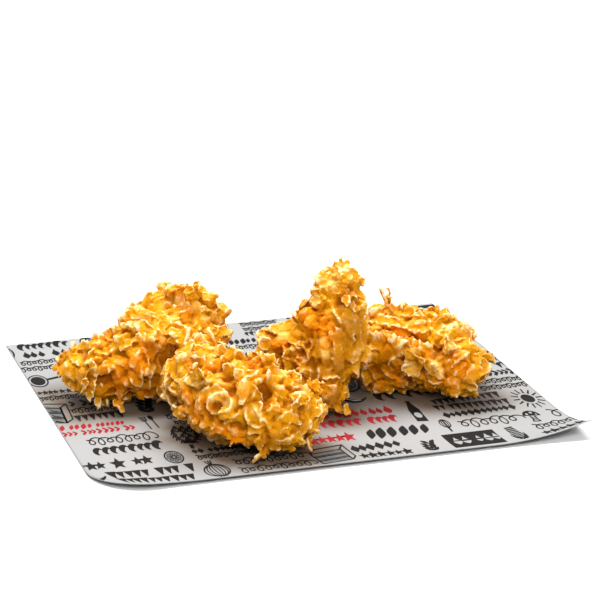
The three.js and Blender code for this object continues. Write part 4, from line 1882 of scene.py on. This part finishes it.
@dataclass
class Stamp:
    """Draws one motif on the sheet. A motif is one unit high, and its middle is at 0, 0."""

    press: "Press"
    x: float
    y: float
    size: float
    turn: float = 0.0
    ink: Ink = Ink.BLACK

    def placed(self, path: np.ndarray) -> np.ndarray:
        """Moves points of the motif to their place on the sheet.

        Args:
            path: Rows of x, y in the motif.

        Returns:
            Rows of x, y in millimetres.
        """
        c, s = math.cos(self.turn), math.sin(self.turn)
        across = self.size * (path[:, 0] * c - path[:, 1] * s)
        along = self.size * (path[:, 0] * s + path[:, 1] * c) * self.press.stretch
        return np.stack([self.x + across, self.y + along], axis=1)

    def ribbon(self, path: np.ndarray, widths: np.ndarray | float, ink: Ink | None = None) -> None:
        """Draws a band along a path.

        Args:
            path: Rows of x, y in the motif.
            widths: The band's width, the same all along or one for each row.
            ink: The ink, where it isn't the stamp's own.
        """
        heading = unit(np.gradient(path, axis=0))
        out = np.stack([-heading[:, 1], heading[:, 0]], axis=1)
        half = np.broadcast_to(np.asarray(widths, dtype=float) / 2, len(path))[:, None]
        half = np.maximum(half, np.minimum(half * 2, self.press.finest / 2 / self.size))
        cells = 2 + int(half.max() * self.size / 2.5)
        edges = [self.placed(path + out * half * k) for k in np.linspace(-1, 1, cells)]
        self.press.add(ink or self.ink, np.stack(edges, axis=1))

    def fill(self, outline: np.ndarray, ink: Ink | None = None) -> None:
        """Fills a closed outline that its middle can see all of.

        Args:
            outline: Rows of x, y in the motif.
            ink: The ink, where it isn't the stamp's own.
        """
        loop = np.concatenate([outline, outline[:1]])
        middle = outline.mean(axis=0)
        rings = [self.placed(middle + (loop - middle) * k) for k in (0.0, 0.5, 1.0)]
        self.press.add(ink or self.ink, np.stack(rings, axis=1))


def arc(
    radius: float, start: float, end: float, middle: tuple[float, float] = (0, 0), flat: float = 1
) -> np.ndarray:
    """Returns points on a circle or ellipse.

    Args:
        radius: The radius across.
        start: The first angle in degrees.
        end: The last angle in degrees.
        middle: The centre.
        flat: The radius up, as a share of the radius across.

    Returns:
        Rows of x, y.
    """
    count = max(5, int(abs(end - start) / 14))
    angles = np.radians(np.linspace(start, end, count))
    across, up = radius * np.cos(angles), radius * flat * np.sin(angles)
    return np.stack([middle[0] + across, middle[1] + up], axis=1)


def line(*corners: tuple[float, float]) -> np.ndarray:
    """Returns a path through the corners with six points on each side."""
    sides = [np.linspace(a, b, 6) for a, b in zip(corners[:-1], corners[1:])]
    return np.concatenate([sides[0], *[side[1:] for side in sides[1:]]])


def swelling(path: np.ndarray, width: float, skew: float = 1.0) -> np.ndarray:
    """Returns widths that rise from nothing to the given width and fall again along a path."""
    share = np.linspace(0, 1, len(path)) ** skew
    return width * np.sin(math.pi * np.clip(share, 0.02, 0.98))


class Picture(Stamp):
    """A larger motif: something from the kitchen."""

    def chilli(self) -> None:
        """Draws a bent chilli with its stalk."""
        body = arc(0.75, 200, 318, (0.05, 0.6), 1.0)
        self.ribbon(body, swelling(body, 0.34, 0.6))
        self.ribbon(body[1:6] + (0.03, 0.05), 0.035, Ink.BLANK)
        self.ribbon(line((-0.62, 0.36), (-0.66, 0.5), (-0.8, 0.56)), 0.08)

    def sprig(self) -> None:
        """Draws a stem with leaves in pairs."""
        stem = arc(1.6, 150, 186, (1.5, -0.3), 0.6)
        self.ribbon(stem, 0.045)
        for k in range(1, len(stem)):
            for side in (-1, 1):
                leaf = line(tuple(stem[k]), tuple(stem[k] + (0.24 * side, 0.2)))
                self.ribbon(leaf, swelling(leaf, 0.15))

    def wheat(self) -> None:
        """Draws an ear of wheat with its whiskers."""
        self.ribbon(line((0, -0.5), (0, 0.3)), 0.035)
        for k in range(6):
            for side in (-1, 1):
                seed = line((0, -0.12 + 0.09 * k), (0.13 * side, 0.02 + 0.09 * k))
                self.ribbon(seed, swelling(seed, 0.085))
                self.ribbon(line((0.13 * side, 0.02 + 0.09 * k), (0.24 * side, 0.2 + 0.09 * k)), 0.015)

    def lemon(self) -> None:
        """Draws a slice of lemon."""
        self.ribbon(arc(0.46, 0, 360), 0.07)
        for k in range(8):
            wedge = np.concatenate([[(0.06, 0)], arc(0.36, -17, 17)])
            c, s = math.cos(k * math.pi / 4), math.sin(k * math.pi / 4)
            self.fill(wedge @ np.array([[c, s], [-s, c]]), Ink.GREY if self.ink is Ink.BLACK else None)
            self.ribbon(np.concatenate([wedge, wedge[:1]]) @ np.array([[c, s], [-s, c]]), 0.02)

    def sun(self) -> None:
        """Draws a disc with rays."""
        self.fill(arc(0.2, 0, 360))
        for k in range(14):
            a = k * math.pi / 7
            ray = line((0.27 * math.cos(a), 0.27 * math.sin(a)), (0.48 * math.cos(a), 0.48 * math.sin(a)))
            self.ribbon(ray, np.linspace(0.07, 0.02, len(ray)))

    def mushroom(self) -> None:
        """Draws a mushroom with a spotted cap."""
        self.fill(arc(0.48, 0, 180, (0, 0.02), 0.9))
        for x, y, r in ((-0.22, 0.15, 0.07), (0.05, 0.27, 0.08), (0.27, 0.12, 0.05)):
            self.fill(arc(r, 0, 360, (x, y)), Ink.BLANK)
        stalk = line((-0.14, 0.0), (-0.12, -0.3), (-0.2, -0.46), (0.2, -0.46), (0.12, -0.3), (0.14, 0.0))
        self.ribbon(stalk, 0.05)
        for x in (-0.05, 0.04):
            self.ribbon(line((x, -0.06), (x, -0.36)), 0.02)

    def onion(self) -> None:
        """Draws an onion with its ribs, sprout and roots."""
        for k in (-1.0, -0.72, -0.42, -0.12, 0.2, 0.5, 0.8, 1.0):
            rib = arc(0.42, 90, -90, (0, -0.08), 0.85) * (k, 1)
            self.ribbon(rib, 0.055 if abs(k) == 1 else 0.022)
        for k in (-0.12, 0.0, 0.1):
            self.ribbon(line((0.3 * k, 0.26), (k, 0.5)), 0.03)
            self.ribbon(line((0.5 * k, -0.43), (1.3 * k, -0.52)), 0.02)

    def corn(self) -> None:
        """Draws a cob of corn in its leaves."""
        for row in range(9):
            high = -0.32 + 0.09 * row
            wide = 0.19 * math.cos((row - 3) / 7.5)
            for k in (-1, -0.34, 0.34, 1):
                self.fill(arc(0.045, 0, 360, (wide * k * 0.8, high), 0.85))
        for side in (-1, 1):
            leaf = arc(0.62, 180, 245, (0.36, 0.05), 0.8) * (side, 1)
            self.ribbon(leaf, swelling(leaf, 0.14, 1.4))

    def whisk(self) -> None:
        """Draws a whisk."""
        self.ribbon(line((0, -0.5), (0, -0.12)), 0.11)
        for k in (0.26, 0.14, 0.02):
            loop = arc(1.0, -90, 270, (0, 0.18), 0.33) * (k, 1)
            self.ribbon(loop, 0.03)

    def pan(self) -> None:
        """Draws a frying pan seen from above."""
        self.fill(arc(0.36, 0, 360, (-0.2, 0)))
        self.ribbon(arc(0.28, 0, 360, (-0.2, 0)), 0.03, Ink.BLANK)
        self.ribbon(line((0.14, 0.02), (0.75, 0.1)), 0.1)

    def cutlery(self) -> None:
        """Draws a fork and a spoon side by side."""
        self.ribbon(line((-0.18, -0.5), (-0.18, 0.12)), 0.06)
        self.ribbon(line((-0.3, 0.45), (-0.28, 0.14), (-0.08, 0.14), (-0.06, 0.45)), 0.035)
        self.ribbon(line((-0.18, 0.14), (-0.18, 0.45)), 0.035)
        self.ribbon(line((0.2, -0.5), (0.2, 0.15)), 0.05)
        self.fill(arc(0.12, 0, 360, (0.2, 0.3), 1.5))

    def carrot(self) -> None:
        """Draws a carrot with its leaves."""
        body = line((0, 0.2), (0.02, -0.5))
        self.ribbon(body, np.linspace(0.3, 0.03, len(body)))
        for x, y in ((-0.08, 0.08), (0.06, -0.02), (-0.04, -0.16)):
            self.ribbon(line((x - 0.05, y), (x + 0.05, y)), 0.025, Ink.BLANK)
        for k in (-0.16, 0.0, 0.16):
            leaf = line((0.3 * k, 0.22), (k, 0.5))
            self.ribbon(leaf, swelling(leaf, 0.09))

    def crate(self) -> None:
        """Draws a crate of grey planks."""
        for k in range(3):
            low = -0.36 + 0.24 * k
            plank = [(-0.62, low), (0.5, low - 0.06), (0.5, low + 0.12), (-0.62, low + 0.18)]
            self.fill(np.array(plank, dtype=float), Ink.GREY)
            self.ribbon(line(*plank, plank[0]), 0.022)
        self.ribbon(line((-0.62, -0.36), (-0.62, 0.34)), 0.06)
        self.ribbon(line((0.5, -0.42), (0.5, 0.28)), 0.06)
        self.ribbon(line((-0.62, 0.32), (-0.36, 0.48), (0.7, 0.42), (0.5, 0.27)), 0.03)
        self.ribbon(line((0.7, 0.42), (0.7, -0.26), (0.5, -0.42)), 0.03)

    def artichoke(self) -> None:
        """Draws an artichoke with its scales."""
        self.ribbon(line((0, -0.55), (0, -0.36)), 0.12)
        for row in range(6):
            high = -0.30 + 0.13 * row
            wide = 0.34 * math.sin(math.pi * (row + 1.3) / 8)
            for k in np.linspace(-1, 1, 4 - row % 2):
                x = wide * k
                self.ribbon(line((x - 0.09, high), (x, high + 0.17), (x + 0.09, high)), 0.03)
                self.ribbon(line((x, high), (x, high + 0.1)), 0.03)

    def bottle(self) -> None:
        """Draws a dark bottle of oil with a blank label."""
        self.ribbon(line((0, -0.5), (0, 0.08)), 0.34)
        neck = line((0, 0.06), (0, 0.44))
        self.ribbon(neck, np.linspace(0.34, 0.1, len(neck)))
        self.ribbon(line((0, 0.42), (0, 0.5)), 0.14)
        self.fill(arc(0.11, 0, 360, (0, -0.2), 1.2), Ink.BLANK)


class Mark(Stamp):
    """A small motif, repeated in rows."""

    def leaf(self) -> None:
        """Draws one leaning leaf."""
        leaf = line((-0.25, -0.5), (0.25, 0.5))
        self.ribbon(leaf, swelling(leaf, 0.62))

    def chevron(self) -> None:
        """Draws one arrowhead."""
        self.ribbon(line((-0.3, -0.45), (0.2, 0.0), (-0.3, 0.45)), 0.34)

    def diamond(self) -> None:
        """Draws one diamond."""
        self.fill(np.array([(0.42, 0), (0, 0.5), (-0.42, 0), (0, -0.5)]))

    def pennant(self) -> None:
        """Draws one hanging triangle."""
        flag = line((0, 0.5), (0, -0.5))
        self.ribbon(flag, np.linspace(0.8, 0.08, len(flag)))

    def bean(self) -> None:
        """Draws one bean."""
        bean = arc(0.34, 40, 250, (0.08, 0), 1.2)
        self.ribbon(bean, swelling(bean, 0.5))

    def star(self) -> None:
        """Draws one star with five points."""
        rays = np.radians(90 + 36 * np.arange(10))
        reach = np.where(np.arange(10) % 2 == 0, 0.52, 0.24)
        self.fill(np.stack([reach * np.cos(rays), reach * np.sin(rays)], axis=1))

    def drop(self) -> None:
        """Draws one drop."""
        drop = line((0, 0.5), (0, -0.45))
        self.ribbon(drop, swelling(drop, 0.7, 1.5))


PICTURES = (
    Picture.chilli, Picture.onion, Picture.crate, Picture.sprig, Picture.corn, Picture.lemon,
    Picture.whisk, Picture.mushroom, Picture.wheat, Picture.artichoke, Picture.pan, Picture.bottle,
    Picture.sun, Picture.cutlery, Picture.carrot,
)
MARKS = (
    Mark.leaf, Mark.chevron, Mark.pennant, Mark.bean, Mark.diamond, Mark.star, Mark.drop,
)


@dataclass(frozen=True)
class Area:
    """A part of the sheet: its left end, its middle up the sheet, its length and its height."""

    x: float
    y: float
    width: float
    high: float


@dataclass
class Press:
    """Prints the sheet: rows of small marks, and pictures of vegetables and kitchen things."""

    paper: Paper
    stretch: float = 1.8
    finest: float = 0.75
    margin: float = 0.4
    gap: float = 1.4
    rows: tuple[float, ...] = (26, 17, 30, 19, 33, 18, 27, 20, 26)
    red_blocks: tuple[tuple[int, int], ...] = ((1, 3), (3, 0), (2, 5), (5, 3))
    dice: np.random.Generator = field(default_factory=lambda: np.random.default_rng(8))
    bands: dict[Ink, list[np.ndarray]] = field(default_factory=lambda: {ink: [] for ink in Ink})

    def add(self, ink: Ink, band: np.ndarray) -> None:
        """Keeps one band of a shape: rows of points side by side."""
        self.bands[ink].append(band)

    def marks_row(self, area: Area, ink: Ink) -> None:
        """Prints one row of small marks, all of one kind but of different sizes.

        Args:
            area: Where it goes.
            ink: The ink.
        """
        mark = MARKS[self.dice.integers(len(MARKS))]
        size = area.high / self.stretch
        x, end = area.x, area.x + area.width
        lean = self.dice.uniform(-0.05, 0.05)
        while x < end - size * 0.4:
            grown = size * self.dice.uniform(0.75, 1.1)
            y = area.y + (x - end + area.width / 2) * lean
            mark(Mark(self, x + grown * 0.4, y, grown, 0, ink))
            x += grown * self.dice.uniform(0.66, 0.84) + (size * 0.5 if self.dice.random() < 0.12 else 0)

    def curl_row(self, area: Area, ink: Ink) -> None:
        """Prints one thin curly line.

        Args:
            area: Where it goes.
            ink: The ink.
        """
        turns = area.width / (area.high * 0.36)
        t = np.linspace(0, turns * 2 * math.pi, int(turns * 10))
        sway = 0.75 + 0.25 * np.sin(t * 0.37 + self.dice.uniform(0, 6))
        across = t / t[-1] * area.width + 0.2 * area.high * np.sin(t)
        path = np.stack([across, 0.45 * area.high * sway * np.cos(t)], axis=1)
        Stamp(self, area.x, area.y, 1, 0, ink).ribbon(path / (1, self.stretch), 0.65)

    def block(self, area: Area, ink: Ink) -> None:
        """Prints a block of rows of marks and curly lines, one under the other.

        Args:
            area: Where it goes.
            ink: The ink.
        """
        count = max(1, round(area.high / self.dice.uniform(9, 13)))
        for k in range(count):
            place = area.y + area.high * ((k + 0.5) / count - 0.5)
            indent = self.dice.uniform(0, 0.12) * area.width
            tall = area.high / count * 0.86
            curly = ink is Ink.BLACK and self.dice.random() < 0.3
            printer = self.curl_row if curly else self.marks_row
            printer(Area(area.x + indent, place, area.width - 2 * indent, tall), ink)

    def banner(self, area: Area) -> None:
        """Prints a black panel with a row of blank marks.

        Args:
            area: Where it goes.
        """
        panel = line((0, 0), (area.width, 0))
        Stamp(self, area.x, area.y, 1).ribbon(panel, area.high * 0.8 / self.stretch)
        self.marks_row(Area(area.x + 2, area.y, area.width - 3, area.high * 0.42), Ink.BLANK)

    def compose(self) -> None:
        """Fills the whole sheet, row by row from the front edge."""
        front = -self.paper.depth / 2
        order = 0
        for number, high in enumerate(self.rows):
            middle = front + high / 2
            x = -self.paper.width / 2 + self.dice.uniform(-14, 1)
            column = 0
            while x < self.paper.width / 2:
                if (number, column) in self.red_blocks:
                    width = self.dice.uniform(38, 50)
                    self.block(Area(x, middle, width, high * 0.85), Ink.RED)
                elif column % 2 == number % 2:
                    picture = PICTURES[order % len(PICTURES)]
                    order += 1
                    size = high * 0.96 / self.stretch
                    width = size * 1.1
                    picture(Picture(self, x + width / 2, middle, size, self.dice.uniform(-0.15, 0.15)))
                elif self.dice.random() < 0.3 and high < 30:
                    width = self.dice.uniform(18, 30)
                    self.banner(Area(x, middle, width, high))
                else:
                    width = self.dice.uniform(24, 46)
                    self.block(Area(x, middle, width, high * 0.94), Ink.BLACK)
                x += width + self.gap
                column += 1
            front += high

    def sheet_of(self, ink: Ink, finish: bpy.types.Material) -> bpy.types.Object:
        """Lays one ink's shapes on the paper and dresses them.

        Args:
            ink: The ink.
            finish: The ink's material.

        Returns:
            The finished piece.
        """
        points, triangles, start = [], [], 0
        for band in self.bands[ink]:
            rows, across = band.shape[:2]
            grid = np.arange(rows * across).reshape(rows, across) + start
            a, b, c, d = grid[:-1, :-1], grid[1:, :-1], grid[1:, 1:], grid[:-1, 1:]
            triangles.append(np.stack([a, b, c, a, c, d], axis=-1).reshape(-1, 3))
            points.append(band.reshape(-1, 2))
            start += rows * across
        flat = np.concatenate(points)
        wide = self.paper.width / 2 - self.margin
        deep = self.paper.depth / 2 - self.margin
        x, y = self.paper.worn_corner(np.clip(flat[:, 0], -wide, wide), np.clip(flat[:, 1], -deep, deep))
        z = self.paper.lift(x, y) + self.paper.thickness + ink.value
        corners = np.concatenate(triangles)
        a, b, c = (np.stack([x, y], axis=1)[corners[:, k]] for k in range(3))
        turn = (b - a)[:, 0] * (c - a)[:, 1] - (b - a)[:, 1] * (c - a)[:, 0]
        corners = np.where(turn[:, None] < 0, corners[:, ::-1], corners)[np.abs(turn) > 1e-4]
        mesh = mesh_from_triangles("print", np.stack([x, y, z], axis=1) * MM, corners)
        piece = bpy.data.objects.new("print_" + ink.name.lower(), mesh)
        bpy.context.scene.collection.objects.link(piece)
        mesh.materials.append(finish)
        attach(piece, "root")
        return piece


# The studio


@dataclass(frozen=True)
class Lamp:
    """One soft square light that points at the food.

    Its bearing round the food is in degrees, 0 at the front and 90 at the right, and so is its height over
    the table. The square's size is in metres, its power in watts and its distance in millimetres.
    """

    name: str
    azimuth: float
    elevation: float
    size: float
    power: float
    colour: Colour = (1.0, 1.0, 1.0)
    distance: float = 1300
    aim: tuple[float, float, float] = (0, 0, 30)

    def build(self) -> None:
        """Adds the light."""
        data = bpy.data.lights.new(self.name, "AREA")
        data.size = self.size
        data.energy = self.power
        data.color = self.colour
        lamp = bpy.data.objects.new(self.name, data)
        bpy.context.scene.collection.objects.link(lamp)
        lamp.location = around(self.aim, self.azimuth, self.elevation, self.distance) * MM
        aim = Vector(self.aim) * MM - lamp.location
        lamp.rotation_euler = aim.to_track_quat("-Z", "Y").to_euler()


@dataclass
class Studio:
    """Floor, lights and camera: the key light is high at the back left, and a fill stands at the front."""

    view: Viewpoint
    lamps: tuple[Lamp, ...] = (
        Lamp("key", -150, 68, 0.6, 28, (1.0, 0.99, 0.97)),
        Lamp("rim_and_highlight", 140, 60, 0.5, 12),
        Lamp("side", 42, 40, 0.5, 4.5),
        Lamp("fill", -10, 38, 0.6, 11),
    )
    room: float = 0.35

    def build(self) -> None:
        """Builds the whole studio."""
        self.floor()
        self.lights()
        self.camera()

    def floor(self) -> None:
        """Lays a wide white floor just under the paper."""
        deselect_all()
        bpy.ops.mesh.primitive_plane_add(size=12, location=(0, 0, -0.1 * MM))
        floor = bpy.context.object
        floor.name = "floor"
        floor.data.materials.append(FloorFinish().make())

    def lights(self) -> None:
        """Sets the lamps in a bright room."""
        for lamp in self.lamps:
            lamp.build()
        world = bpy.data.worlds.new("room")
        world.use_nodes = True
        sky = world.node_tree.nodes["Background"]
        sky.inputs["Color"].default_value = (1, 1, 1, 1)
        sky.inputs["Strength"].default_value = self.room
        bpy.context.scene.world = world
        bpy.context.scene.view_settings.view_transform = "Standard"

    def camera(self) -> None:
        """Sets the camera that the photograph was taken with."""
        data = bpy.data.cameras.new("camera")
        data.lens = self.view.lens
        data.sensor_width = self.view.sensor
        data.clip_start = 0.05
        data.clip_end = 50
        camera = bpy.data.objects.new("camera", data)
        bpy.context.scene.collection.objects.link(camera)
        camera.location = self.view.eye() * MM
        aim = Vector(self.view.target) * MM - camera.location
        camera.rotation_euler = aim.to_track_quat("-Z", "Y").to_euler()
        bpy.context.scene.camera = camera


def main() -> None:
    """Builds the part and the studio in order."""
    logging.basicConfig(level=logging.INFO, format="%(message)s")
    # Without a seed the clock shifts the noise vectors, and each run differs
    noise.seed_set(NOISE_SEED)
    crust = CrustFinish().make()
    slab = Template.slab(7)
    ball = Template.ball(2)
    view = Viewpoint()
    crusts = {"wing_left": LEFT, "wing_front": FRONT, "wing_upright": UPRIGHT, "wing_right": RIGHT}
    for seed, (node, forms) in enumerate(crusts.items(), start=1):
        piece = Wing(node, seed * 101, forms, view).build(slab, ball, crust)
        log.info("%s: %d faces", piece.name, len(piece.data.polygons))
    paper = Paper()
    sheet = paper.build(PaperFinish().make())
    log.info("%s: %d faces", sheet.name, len(sheet.data.polygons))
    inks = {
        Ink.GREY: InkFinish("ink_grey", (0.10, 0.10, 0.10), (0.16, 0.16, 0.16)),
        Ink.BLACK: InkFinish("ink_black", (0.004, 0.004, 0.0045), (0.014, 0.014, 0.014)),
        Ink.RED: InkFinish("ink_red", (0.23, 0.006, 0.009), (0.25, 0.03, 0.03)),
        Ink.BLANK: InkFinish("ink_blank", (0.24, 0.24, 0.24), (0.22, 0.22, 0.22)),
    }
    press = Press(paper)
    press.compose()
    for ink, finish in inks.items():
        printed = press.sheet_of(ink, finish.make())
        log.info("%s: %d faces", printed.name, len(printed.data.polygons))
    Studio(view).build()


if __name__ == "__main__":
    main()
